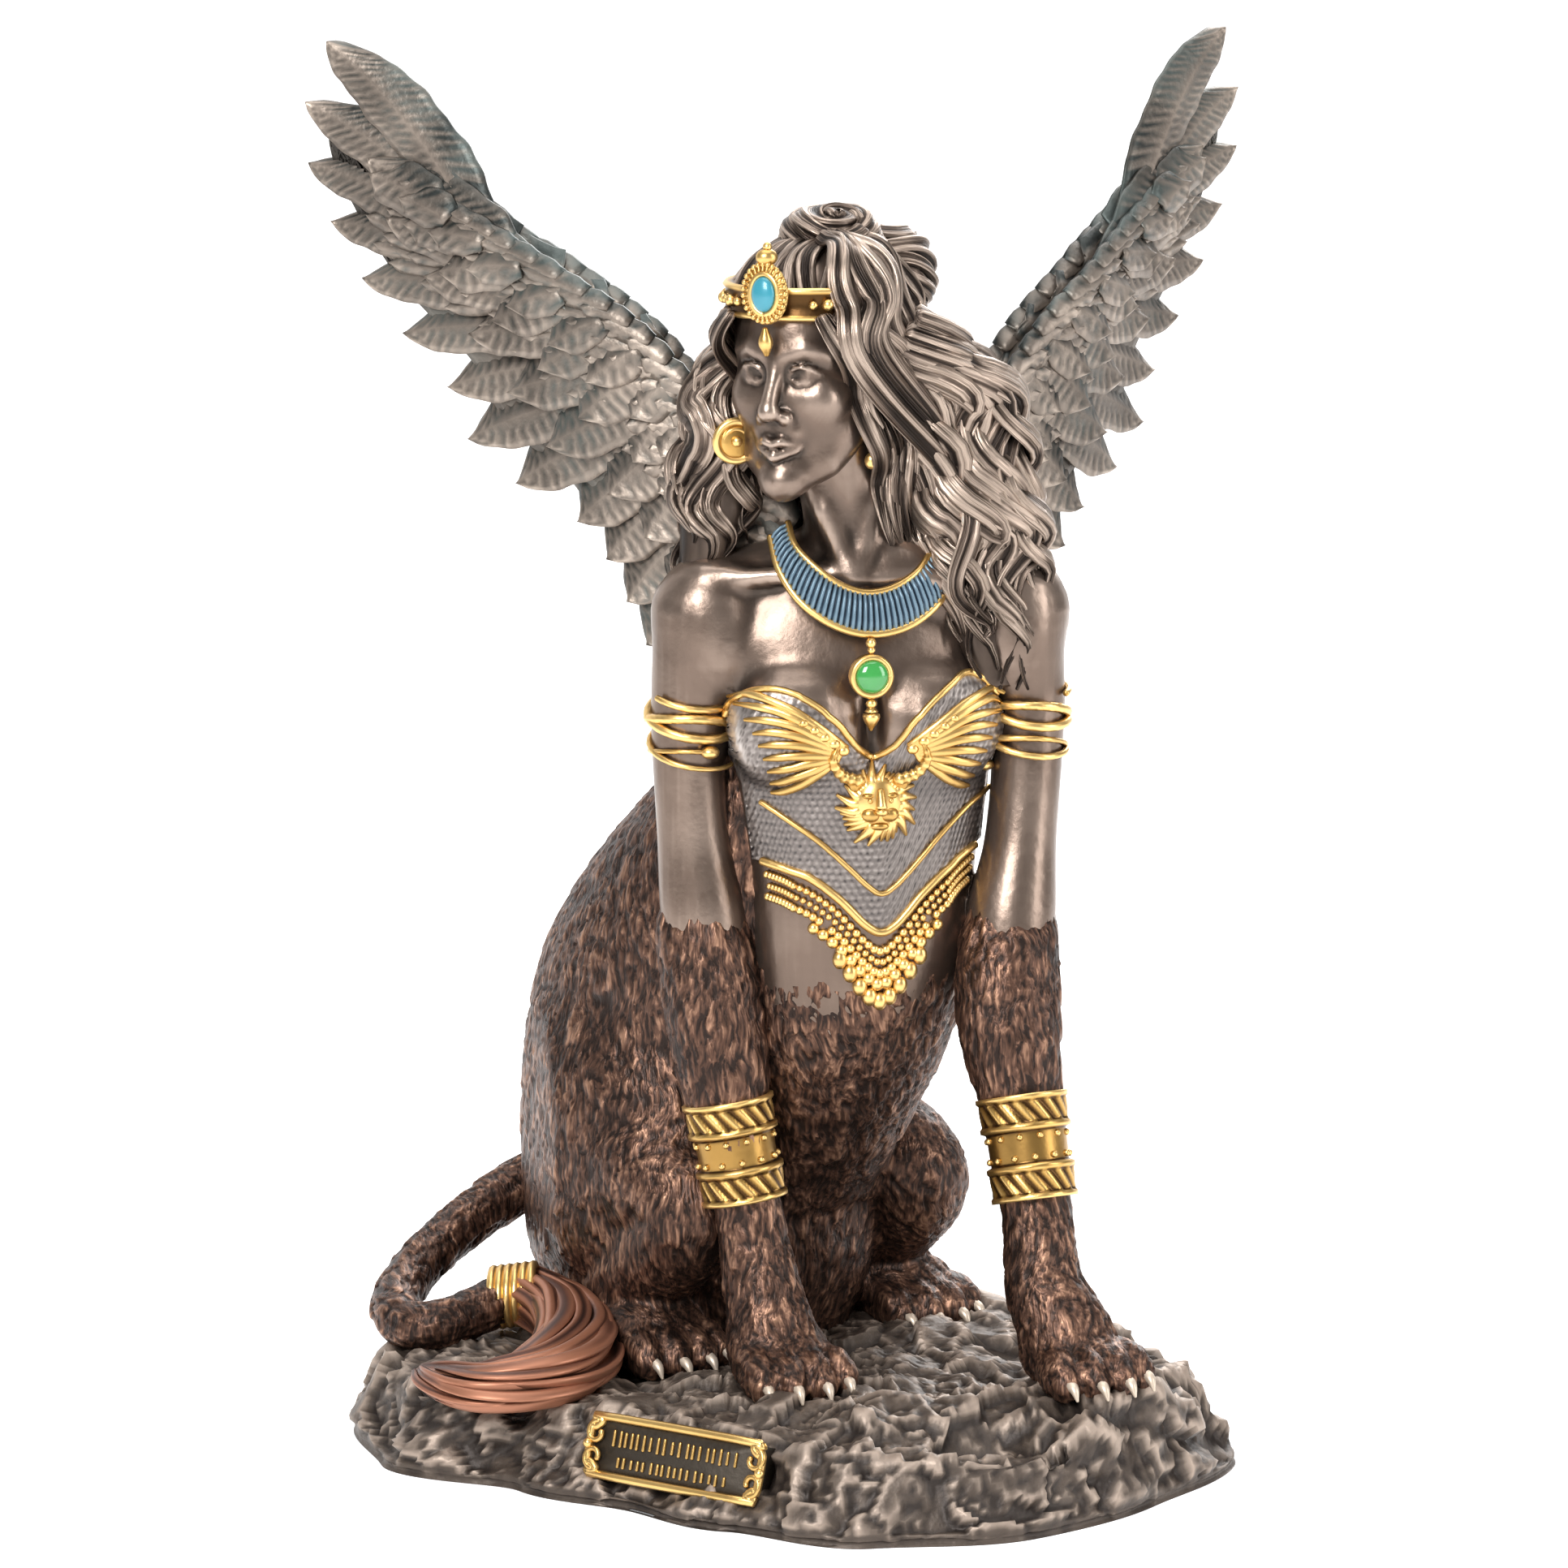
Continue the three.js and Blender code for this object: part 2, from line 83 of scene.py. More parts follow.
def onLion(place):
    return turned(*chest, lionTurn, place)


def onHead(place):
    return turned(face["x"], face["y"], face["turn"], [place[0], place[1], face["z"] + place[2], *place[3:]])


# A smooth path of count rows through the rows given.
def eased(rows, count=200):
    rows = np.asarray(rows, float)
    ends = np.vstack([2 * rows[0] - rows[1], rows, 2 * rows[-1] - rows[-2]])
    t = np.linspace(0, len(rows) - 1, count)
    i = np.minimum(t.astype(int), len(rows) - 2)
    u = (t - i)[:, None]
    a, b, c, d = ends[i], ends[i + 1], ends[i + 2], ends[i + 3]
    return 0.5 * (2 * b + (c - a) * u + (2 * a - 5 * b + 4 * c - d) * u**2 + (3 * b - a - 3 * c + d) * u**3)


def hashed(cells, seed):
    h = (cells[..., 0] * 73856093) ^ (cells[..., 1] * 19349663) ^ (
        cells[..., 2] * 83492791
    ) ^ (seed * 2654435761)
    h = (h ^ (h >> 13)) * 1274126177
    return ((h ^ (h >> 16)) & 0xFFFF) / 65535.0


# Smooth value noise from -1 to 1, with lumps about size across.
def noise(points, size, seed=1):
    p = np.asarray(points, float) / size
    cell = np.floor(p).astype(np.int64)
    f = p - cell
    f = f * f * (3 - 2 * f)
    total = 0
    for corner in range(8):
        step = np.array([corner & 1, (corner >> 1) & 1, corner >> 2])
        weight = np.prod(np.where(step, f, 1 - f), axis=-1)
        total = total + weight * hashed(cell + step, seed)
    return total * 2 - 1


def rough(points, size, layers=4, seed=1):
    return sum(noise(points, size / 2**i, seed + i) / 1.8**i for i in range(layers))


# Meshes: every shape is a pair of arrays, points and triangles
# Triangles over rows of points, (rows, columns, 3), with a fan at each end.
def grid(points, closedAcross=True, capped=True):
    rows, columns = points.shape[:2]
    r, c = np.meshgrid(
        np.arange(rows - 1), np.arange(columns if closedAcross else columns - 1), indexing="ij"
    )
    a = (r * columns + c).ravel()
    b = (r * columns + (c + 1) % columns).ravel()
    faces = np.concatenate([np.stack([a, b, b + columns], 1), np.stack([a, b + columns, a + columns], 1)])
    flat = points.reshape(-1, 3)
    if capped:
        ends = np.stack([points[0].mean(0), points[-1].mean(0)])
        i = np.arange(columns)
        j = (i + 1) % columns
        n = len(flat)
        last = (rows - 1) * columns
        faces = np.concatenate(
            [
                faces, np.stack([np.full(columns, n), j, i], 1),
                np.stack([np.full(columns, n + 1), last + i, last + j], 1)
            ]
        )
        flat = np.concatenate([flat, ends])
    return flat, faces


def outward(shape):
    points, faces = shape
    a, b, c = (points[faces[:, i]] for i in range(3))
    if np.einsum("ij,ij->i", a, np.cross(b, c)).sum() < 0:
        faces = faces[:, ::-1]
    return points, faces


def joined(shapes):
    points, faces, start = [], [], 0
    for p, f in shapes:
        points.append(p)
        faces.append(f + start)
        start += len(p)
    return np.concatenate(points), np.concatenate(faces)


# A limb through rows of x, y, z, half width and half depth. The depth lies along front.
def tube(rows, sides=24, count=40, front=(0, -1, 0), cap=0.7, ribs=None):
    rows = np.array([[*r, r[3]] if len(r) == 4 else r for r in rows], float)
    path = eased(rows, count)
    at, width, depth = path[:, :3], path[:, 3], path[:, 4]
    along = unit(np.gradient(at, axis=0))
    across = unit(np.cross(np.broadcast_to(front, along.shape), along))
    deep = unit(np.cross(along, across))
    least = np.minimum(width, depth)
    if cap:
        steps = (0.95, 0.75, 0.4)
        scale = np.array([math.sqrt(1 - s * s) for s in steps])
        ahead = np.array(steps) * cap
        at = np.concatenate(
            [
                at[:1] - along[:1] * least[0] * ahead[:, None], at,
                at[-1:] + along[-1:] * least[-1] * ahead[::-1, None]
            ]
        )
        width = np.concatenate([width[0] * scale, width, width[-1] * scale[::-1]])
        depth = np.concatenate([depth[0] * scale, depth, depth[-1] * scale[::-1]])
        across = np.concatenate([across[:1].repeat(3, 0), across, across[-1:].repeat(3, 0)])
        deep = np.concatenate([deep[:1].repeat(3, 0), deep, deep[-1:].repeat(3, 0)])
    angle = np.linspace(0, 2 * np.pi, sides, endpoint=False)
    share = np.linspace(0, 1, len(at))[:, None]
    rib = ribs(angle[None], share) if ribs else 1
    x = (np.cos(angle) * width[:, None] * rib)[..., None] * across[:, None]
    y = (np.sin(angle) * depth[:, None] * rib)[..., None] * deep[:, None]
    return outward(grid(at[:, None] + x + y))


# Level ovals one above another: x, y, z, half width, half depth.
def stack(rows, sides=48, count=50, turn=0):
    path = eased(rows, count)
    angle = np.linspace(0, 2 * np.pi, sides, endpoint=False)
    c, s = math.cos(math.radians(turn)), math.sin(math.radians(turn))
    px, py = np.cos(angle) * path[:, 3:4], np.sin(angle) * path[:, 4:5]
    points = np.stack(
        [path[:, :1] + px * c - py * s, path[:, 1:2] + px * s + py * c, path[:, 2:3] + 0 * px], -1
    )
    return outward(grid(points))


def ball(centre, radii, turn=0, tilt=0, sides=20, rings=12):
    across = np.linspace(0, np.pi, rings + 1)[1:-1]
    angle = np.linspace(0, 2 * np.pi, sides, endpoint=False)
    x = np.sin(across)[:, None] * np.cos(angle)
    y = np.sin(across)[:, None] * np.sin(angle)
    z = np.cos(across)[:, None] + 0 * angle
    points, faces = grid(np.stack([x, y, z], -1))
    points[-2:] = [[0, 0, 1], [0, 0, -1]]
    points = points * radii
    a, b = math.radians(tilt), math.radians(turn)
    points = points @ np.array([[1, 0, 0], [0, math.cos(a), math.sin(a)], [0, -math.sin(a), math.cos(a)]])
    points = points @ np.array([[math.cos(b), math.sin(b), 0], [-math.sin(b), math.cos(b), 0], [0, 0, 1]])
    return outward((points + centre, faces))


# Clay: a distance field that shapes are blended into
class Clay:
    def __init__(self, low, high, voxel, band=3.0):
        self.voxel = voxel
        self.band = band
        self.start = np.floor(np.array(low) / voxel).astype(int)
        self.count = np.ceil(np.array(high) / voxel).astype(int) - self.start + 1
        self.field = np.full(self.count, band, np.float32)

    def block(self, low, high):
        a = np.clip(
            np.floor((np.asarray(low) - self.band) / self.voxel).astype(int) - self.start, 0, self.count
        )
        b = np.clip(
            np.ceil((np.asarray(high) + self.band) / self.voxel).astype(int) + 1 - self.start, 0, self.count
        )
        return a, np.maximum(b, a + 1)

    def blend(self, a, b, other, softness, dig=False):
        spot = tuple(slice(i, j) for i, j in zip(a, b))
        mine = self.field[spot]
        if dig:
            mine, other = -mine, other
        soft = np.maximum(softness - np.abs(mine - other), 0) / softness
        least = np.minimum(mine, other)
        made = np.where(least >= self.band * 0.95, least, least - soft * soft * softness * 0.25)
        self.field[spot] = np.clip(-made if dig else made, -self.band, self.band)

    def add(self, shape, softness=1.5):
        points, faces = shape
        a, b = self.block(points.min(0), points.max(0))
        level = openvdb.FloatGrid.createLevelSetFromPolygons(
            points.astype(np.float32), triangles=faces.astype(np.uint32),
            transform=openvdb.createLinearTransform(voxelSize=self.voxel), halfWidth=self.band / self.voxel,
        )
        values = np.empty(b - a, np.float32)
        level.copyToArray(values, ijk=tuple(int(v) for v in a + self.start))
        self.blend(a, b, values, softness)

    def axes(self, a, b):
        return [
            ((np.arange(i, j) + s) * self.voxel).astype(np.float32).reshape(
                [-1 if k == n else 1 for k in range(3)]
            )
            for n, (i, j, s) in enumerate(zip(a, b, self.start))
        ]

    def egg(self, centre, radii, softness=1.0, dig=False):
        a, b = self.block(np.subtract(centre, radii), np.add(centre, radii))
        x, y, z = (axis - c for axis, c in zip(self.axes(a, b), centre))
        k0 = np.sqrt((x / radii[0]) ** 2 + (y / radii[1]) ** 2 + (z / radii[2]) ** 2)
        k1 = np.sqrt((x / radii[0] ** 2) ** 2 + (y / radii[1] ** 2) ** 2 + (z / radii[2] ** 2) ** 2)
        self.blend(a, b, k0 * (k0 - 1) / np.maximum(k1, 1e-6), softness, dig)

    def rod(self, points, radii, softness=1.0, dig=False):
        points = np.array(points, float)
        radii = np.broadcast_to(radii, len(points))
        a, b = self.block(points.min(0) - radii.max(), points.max(0) + radii.max())
        x, y, z = self.axes(a, b)
        best = None
        for p, q, r0, r1 in zip(points, points[1:], radii, radii[1:]):
            d = q - p
            t = np.clip(((x - p[0]) * d[0] + (y - p[1]) * d[1] + (z - p[2]) * d[2]) / (d @ d), 0, 1)
            gap = np.sqrt(
                (x - p[0] - t * d[0]) ** 2 + (y - p[1] - t * d[1]) ** 2 + (z - p[2] - t * d[2]) ** 2
            ) - (r0 + t * (r1 - r0))
            best = gap if best is None else np.minimum(best, gap)
        self.blend(a, b, best, softness, dig)

    def mesh(self):
        level = openvdb.FloatGrid(self.band)
        level.copyFromArray(np.pad(self.field, 1, constant_values=self.band))
        points, quads = level.convertToQuads(0.0)
        points = (points + self.start - 1) * self.voxel
        return points.astype(float), quads.astype(np.int64)


# Pieces
def normalsOf(points, faces):
    a, b, c = points[faces[:, 0]], points[faces[:, 1]], points[faces[:, 2]]
    if faces.shape[1] == 4:
        flat = np.cross(c - a, points[faces[:, 3]] - b)
    else:
        flat = np.cross(b - a, c - a)
    total = np.zeros_like(points)
    for i in range(3):
        total[:, i] = sum(np.bincount(faces[:, k], flat[:, i], len(points)) for k in range(faces.shape[1]))
    return unit(total)


# Each point moved half-way to the middle of its neighbours.
def relaxed(points, faces, rounds=2):
    width = faces.shape[1]
    starts = np.concatenate([faces[:, k] for k in range(width)])
    ends = np.concatenate([faces[:, (k + 1) % width] for k in range(width)])
    one, two = np.concatenate([starts, ends]), np.concatenate([ends, starts])
    share = np.bincount(one, minlength=len(points)).clip(1)
    for _ in range(rounds):
        middle = np.stack(
            [np.bincount(one, points[two, i], len(points)) for i in range(3)], 1
        ) / share[:, None]
        points = points * 0.5 + middle * 0.5
    return points


# How far each point stands above the surface round it, for the relief of a finish.
def ridgesOf(shape, rounds):
    return ((shape[0] - relaxed(*shape, rounds)) * normalsOf(*shape)).sum(1)


def makePiece(name, shape, material, slot, strand=None, **attributes):
    points, faces = shape
    mesh = bpy.data.meshes.new(name)
    width = faces.shape[1]
    mesh.vertices.add(len(points))
    mesh.vertices.foreach_set("co", (points * metre).astype(np.float32).ravel())
    mesh.loops.add(faces.size)
    mesh.loops.foreach_set("vertex_index", faces.astype(np.int32).ravel())
    mesh.polygons.add(len(faces))
    mesh.polygons.foreach_set("loop_start", np.arange(0, faces.size, width, dtype=np.int32))
    mesh.update(calc_edges=True)
    mesh.polygons.foreach_set("use_smooth", np.ones(len(faces), bool))
    for key, values in attributes.items():
        mesh.attributes.new(key, "FLOAT", "POINT").data.foreach_set("value", np.asarray(values, np.float32))
    if strand is not None:
        mesh.attributes.new("strand", "FLOAT_VECTOR", "POINT").data.foreach_set(
            "vector", strand.astype(np.float32).ravel()
        )
    mesh.materials.append(material)
    piece = bpy.data.objects.new(name, mesh)
    bpy.context.collection.objects.link(piece)
    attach(piece, "root")
    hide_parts("sphinx_statue")
    parts.append((name, len(faces) * (width - 2)))
    return piece


# Materials
# A painted cast, dark in its hollows and bright on its ridges, by its point attributes for relief and patina.
# On the skin, face and rock, the relief attribute also carries painted light from above: surfaces facing up
# are painted lighter.
# Strokes are fur, drawn down the sides and back over the top. Strands follow each lock by its own attribute.
def finish(name, look, grain=0.1, grainSize=900, patina=None, mottle=0.25, strokes=0.0, strands=0.0):
    material = bpy.data.materials.new(name)
    material.use_nodes = True
    tree = material.node_tree
    shader = tree.nodes["Principled BSDF"]

    def node(kind, inputs={}, **values):
        made = tree.nodes.new(kind)
        for key, value in values.items():
            setattr(made, key, value)
        for key, value in inputs.items():
            if isinstance(value, bpy.types.NodeSocket):
                tree.links.new(value, made.inputs[key])
            else:
                made.inputs[key].default_value = value
        return made

    def added(operation, *values, clamped=False):
        return node(
            "ShaderNodeMath", dict(enumerate(values)), operation=operation, use_clamp=clamped
        ).outputs[0]

    def cloud(scale, detail, vector):
        return node("ShaderNodeTexNoise", {"Scale": scale, "Detail": detail, "Vector": vector}).outputs["Fac"]

    def ranged(value, **ends):
        sockets = {"fromLow": "From Min", "fromHigh": "From Max", "toLow": "To Min", "toHigh": "To Max"}
        ends = {sockets[key]: end for key, end in ends.items()}
        return node("ShaderNodeMapRange", {"Value": value, **ends}).outputs["Result"]

    place = node("ShaderNodeTexCoord").outputs["Object"]
    relief = node("ShaderNodeAttribute", attribute_name="relief").outputs["Fac"]
    spread = added("MULTIPLY_ADD", cloud(70, 6, place), mottle * 2, -mottle)
    level = added("ADD", relief, spread, clamped=True)
    lines = None
    if strands:
        own = node("ShaderNodeAttribute", attribute_name="strand").outputs["Vector"]
        lines = ranged(cloud(1.0, 3, own), fromLow=0.3, fromHigh=0.7)
        gain, shift = strands, -0.55 * strands
    if strokes:
        sway = node("ShaderNodeTexNoise", {"Scale": 90, "Vector": place}).outputs["Color"]
        swayed = node(
            "ShaderNodeVectorMath", {0: sway, 1: (0.006,) * 3, 2: place}, operation="MULTIPLY_ADD"
        ).outputs[0]
        laid = []
        for scale in ((1300, 1300, 230), (1300, 230, 1300)):
            stretched = node("ShaderNodeVectorMath", {0: swayed, 1: scale}, operation="MULTIPLY").outputs[0]
            laid.append(cloud(1.0, 2, stretched))
        normal = node("ShaderNodeNewGeometry").outputs["Normal"]
        upward = ranged(node("ShaderNodeSeparateXYZ", {0: normal}).outputs["Z"], fromLow=0.55, fromHigh=0.8)
        lines = node("ShaderNodeMix", {"Factor": upward, "A": laid[0], "B": laid[1]}).outputs["Result"]
        gain, shift = 3 * strokes, -1.5 * strokes
    if lines is not None:
        level = added("MULTIPLY_ADD", lines, gain, added("ADD", level, shift), clamped=True)
    ramp = node("ShaderNodeValToRGB", {0: level})
    stops = ramp.color_ramp.elements
    stops.new(0.5)
    for stop, position, shade in zip(stops, (0.12, 0.5, 0.95), ("dark", "main", "bright")):
        stop.position = position
        stop.color = (*look[shade], 1)
    colour = ramp.outputs[0]
    if patina:
        amount = node("ShaderNodeAttribute", attribute_name="patina").outputs["Fac"]
        colour = node(
            "ShaderNodeMix", {"Factor": amount, "A": colour, "B": (*patina, 1)}, data_type="RGBA"
        ).outputs["Result"]
        tree.links.new(ranged(amount, toLow=look["metal"], toHigh=0.2), shader.inputs["Metallic"])
    else:
        shader.inputs["Metallic"].default_value = look["metal"]
    tree.links.new(colour, shader.inputs["Base Color"])
    shader.inputs["Roughness"].default_value = look["rough"]
    if grain:
        height = cloud(grainSize, 4, place) if lines is None else lines
        bump = node("ShaderNodeBump", {"Strength": grain, "Distance": 0.0004, "Height": height})
        tree.links.new(bump.outputs["Normal"], shader.inputs["Normal"])
    return material


def plain(name, colour, roughness=0.25, metal=0.0, coat=0.0):
    material = bpy.data.materials.new(name)
    material.use_nodes = True
    shader = material.node_tree.nodes["Principled BSDF"]
    shader.inputs["Base Color"].default_value = (*colour, 1)
    shader.inputs["Roughness"].default_value = roughness
    shader.inputs["Metallic"].default_value = metal
    shader.inputs["Coat Weight"].default_value = coat
    return material


# Rocky base
rock = {
    "top": 14.0, "crag": 1.9,
    "rim": [66, 56, 54, 60, 66, 68, 72, 75.5, 70, 54, 50, 56, 66.5, 72, 73, 77.5],  # reach at 16 angles
    "ledges": [  # x, y, half length, half width, rise, turn
        [46, -38, 25, 17, 4.6, 30], [12, -42, 22, 9, 3, 15], [27, -54, 18, 8, -3.5, 20], [
            -8, -22, 20, 12, 1.4, -30
        ],
        [60, -8, 14, 20, 1.5, 10], [30, 26, 22, 26, 2.4, 0], [
            -50, 14, 16, 26, 1.6, 15
        ], [-10, 40, 34, 20, 2.6, 0],
        [-44, -10, 10, 10, -2.5, 0], [64, -34, 12, 9, -4, 40],
    ],
    "dark": (0.03, 0.022, 0.018), "main": (0.085, 0.064, 0.05), "bright": (0.33, 0.26, 0.21),
    "rough": 0.5, "metal": 0.5,
}
rockPaint = finish("painted rock", rock, 0.8, 420, mottle=0.22)


def rimAt(angle):
    place = (angle / (2 * np.pi) * 16) % 16
    low = np.floor(place).astype(int)
    share = place - low
    values = np.array(rock["rim"], float)
    return values[low % 16] + (values[(low + 1) % 16] - values[low % 16]) * share * share * (3 - 2 * share)


def leanAt(angle):
    return 0.07 + 0.17 * np.maximum(0, np.cos(angle - math.radians(-125))) ** 8


def rockHeight(x, y):
    height = np.full(np.shape(x), rock["top"])
    for lx, ly, length, width, rise, turn in rock["ledges"]:
        c, s = math.cos(math.radians(-turn)), math.sin(math.radians(-turn))
        px, py = (x - lx) * c - (y - ly) * s, (x - lx) * s + (y - ly) * c
        height = height + rise * np.clip(2.6 * (1 - np.hypot(px / length, py / width)), 0, 1)
    return height + 0.5 * np.sin(x * 0.31 + y * 0.17) * np.sin(y * 0.27 - x * 0.11)


# Broken faces: each point takes the height of a tilted plane round its nearest seed.
def facets(points, size, seed):
    source = np.random.default_rng(seed)
    low, high = points.min(0) - size, points.max(0) + size
    cells = [np.arange(a, b, size) for a, b in zip(low, high)]
    seeds = np.stack(np.meshgrid(*cells, indexing="ij"), -1).reshape(-1, 3)
    seeds = seeds + source.uniform(-0.45, 0.45, seeds.shape) * size
    tilt = source.normal(0, 0.35, seeds.shape)
    lift = source.uniform(-0.5, 0.5, len(seeds)) * size * 0.35
    tree = KDTree(len(seeds))
    for i, spot in enumerate(seeds):
        tree.insert(spot, i)
    tree.balance()
    near = np.array([tree.find(p)[1] for p in points])
    return lift[near] + ((points - seeds[near]) * tilt[near]).sum(1)


def makeRock():
    columns = 420
    angle = np.linspace(0, 2 * np.pi, columns, endpoint=False)
    wallShares = eased([[0.0, -0.02], [0.05, 0.05], [0.0, 0.15], [0.5, 0.5], [1.0, 0.92]], 30)
    inward = np.concatenate([[0.6], np.clip(wallShares[:, 0], 0, 1), np.full(62, 1.0)])
    rise = np.concatenate([[0.0], np.clip(wallShares[:, 1], 0, 1), np.full(62, 1.0)])
    share = np.concatenate([[0.9], np.full(30, 1.0), np.linspace(0.985, 0.03, 62)])
    reach = rimAt(angle) * (1 - leanAt(angle) * inward[:, None]) * share[:, None]
    x, y = reach * np.cos(angle), reach * np.sin(angle)
    z = rise[:, None] * rockHeight(x, y)
    points, faces = grid(np.stack([x, y, z], -1))
    points, faces = outward((points, faces))
    normal = normalsOf(points, faces)
    crag = 0.6 * facets(points, 9.0, 3) + 0.45 * facets(points, 4.0, 4)
    move = rock["crag"] * (0.5 * crag + 0.2 * rough(points, 4, 4, 5))
    pits = smoothstep(0.15, 0.6, noise(points, 2.2, 9)) * 0.7 * (
        0.4 + 0.6 * smoothstep(-0.2, 0.4, noise(points, 12, 10))
    )
    wall = smoothstep(0.6, 0.3, normal[:, 2])
    lip = smoothstep(3.4, 1.6, points[:, 2]) * wall
    move = (move - pits) * (1 - 0.85 * lip) - 0.25
    keep = smoothstep(0.0, 0.8, points[:, 2])
    moved = points + normal * (np.clip(move, -2.2, 1.4) * keep)[:, None]
    moved[:, 2] = np.maximum(moved[:, 2], 0)
    hollow = relaxed(moved, faces, 3)
    after = normalsOf(moved, faces)
    # Dark in the hollows and pits and bright on the ridges, plus painted light from above: rock facing up is
    # painted a little lighter.
    relief = np.clip(0.4 + 1.3 * ((moved - hollow) * after).sum(1) + 0.06 * after[:, 2] - 0.25 * pits, 0, 1)
    makePiece("rock_base", (moved, faces), rockPaint, "rock", relief=relief)


makeRock()
print("rock made", parts[-1])


# The woman's body
skin = {
    "voxel": 0.72, "dark": (0.05, 0.038, 0.031), "main": (0.15, 0.108, 0.085), "bright": (0.42, 0.325, 0.265),
    "rough": 0.32, "metal": 0.88,
}
skinBronze = finish("satin bronze", skin, 0.12, mottle=0.16)
rightArm = [
    [-15, 0.5, 145, 7.4], [-16.6, 0.5, 126, 6.3], [-16, 0, 108, 6.1], [-14.2, -1, 92, 7.8, 7.4],
    [-12.6, -3, 76, 8.8, 8], [-10.6, -6, 58, 6.6], [-8.2, -8, 43, 5.8], [-6.6, -10.5, 32, 6.4],
    [-5.2, -14, 22, 8, 7]
]
leftArm = [
    [39.2, -6.5, 144, 7.2], [40, -8, 124, 6.1], [38.4, -10, 106, 6.1], [36.2, -12.5, 92, 8, 7.6],
    [34.8, -16, 78, 9, 8], [36.6, -20, 60, 6.8], [38, -24.5, 44, 6], [38.4, -28, 33, 6.6], [41, -33, 25, 8, 7]
]
trunk = [
    [-7, 18, 40, 12, 9], [-4, 10, 55, 15, 11], [-1.6, 3.4, 70, 17.6, 12], [0, 0, 84, 18.8, 12],
    [0, -0.5, 99, 19.2, 12], [0, 0, 112, 20.6, 12.4], [0, 0.5, 124, 22.6, 12.8], [-0.4, 1, 134, 24.2, 12.4],
    [-1, 1.4, 142, 24, 10.8], [-2, 1.8, 149, 18, 8.6], [-3, 1.8, 153.5, 9, 6.4]
]


def makeTorso():
    clay = Clay([-28, -24, 74], [54, 26, 190], skin["voxel"])
    clay.add(stack([onChest(row) for row in trunk[2:]]))
    for side in (-1, 1):
        clay.add(ball(onChest([side * 11.2 - 0.8, -6.9, 126.3]), (11.6, 8, 10.6)), 2.6)
    for arm in (rightArm, leftArm):
        x, y, z, wide, deep = arm[3]
        clay.add(tube([*arm[:3], [x, y, z, wide - 0.5, deep - 0.5], [*arm[4][:3], 5.6, 5.4]], count=40), 1.2)
    for x, y, side in ((-13.6, 0.5, -1), (38.6, -6.2, 1)):
        clay.add(ball([x, y, 144.5], (8.5, 8.1, 9.2)), 2.5)
        clay.add(
            tube(
                [
                    [x - side * 24, y + side * -2 + 1, 153, 5.4, 6.4],
                    [x - side * 12, y + 0.6, 149.4, 6.4, 7], [x, y, 146, 6.8]
                ],
                front=(0, 0, 1)
            ),
            3
        )
        clay.egg([x - side * 1.5, y - 3.5, 139], (6.4, 5.4, 9), 3)
        clay.egg([x + side * 1.2, y + 0.5, 128], (5.4, 5.6, 10), 3)
    clay.add(
        tube([[11, 0, 146, 8.6, 8], [9.8, -3, 157, 7, 7.2], [8, -4, 168, 7, 7.6], [6.5, -4, 178, 8, 9]]), 3
    )
    # collar bones and the neck's two cords
    clay.rod(
        [[8.5, -10.5, 151.5], [1, -9.8, 152], [-8, -6.5, 151], [-14, -3.5, 151.5]], [1.3, 1.2, 1.2, 1.0], 3
    )
    clay.rod(
        [[13, -11.5, 150.8], [21, -12, 150.8], [31, -11.5, 149.5], [37, -9.5, 150]], [1.3, 1.2, 1.2, 1.0], 3
    )
    clay.rod([[9.6, -10.8, 151], [13, -9.6, 162], [14.8, -4, 174]], [1.2, 1.6, 1.4], 3)
    clay.rod([[9.0, -10.6, 151], [4.4, -9.4, 162], [1.4, -5, 172]], [1.0, 1.2, 1.2], 3)
    clay.rod([[11.6, -15.4, 121], [11.7, -14.6, 127], [11.8, -13.4, 133]], [1.2, 1.2, 0.5], 3, dig=True)
    points, faces = clay.mesh()
    normal = normalsOf(points, faces)
    cavity = ridgesOf((points, faces), 10)
    # Dark in the hollows and bright on the ridges, plus painted light from above: skin facing up is painted
    # lighter.
    relief = np.clip(0.46 + 1.5 * cavity + 0.12 * normal[:, 2] + 0.07 * noise(points, 9, 3), 0.08, 0.9)
    makePiece("skin", (points, faces), skinBronze, "bronze", relief=relief)
    return points, faces


skinShape = makeTorso()
print("torso made", parts[-1])
bodyTree = BVHTree.FromPolygons(skinShape[0].tolist(), skinShape[1].tolist())


# Fur
fur = {
    "voxel": 0.81, "length": 3.3, "width": 0.85, "depth": 0.4, "dark": (0.022, 0.013, 0.01),
    "main": (0.105, 0.053, 0.035), "bright": (0.361, 0.203, 0.13), "rough": 0.44, "metal": 0.75
}
claw = {
    "dark": (0.1, 0.07, 0.05), "main": (0.45, 0.36, 0.27), "bright": (0.7, 0.6, 0.5), "rough": 0.4,
    "metal": 0.5
}
tuftHair = {
    "dark": (0.025, 0.011, 0.008), "main": (0.11, 0.042, 0.026), "bright": (0.34, 0.145, 0.085),
    "rough": 0.42, "metal": 0.6
}
furBronze = finish("fur bronze", fur, 0.8, mottle=0.12, strokes=0.6)


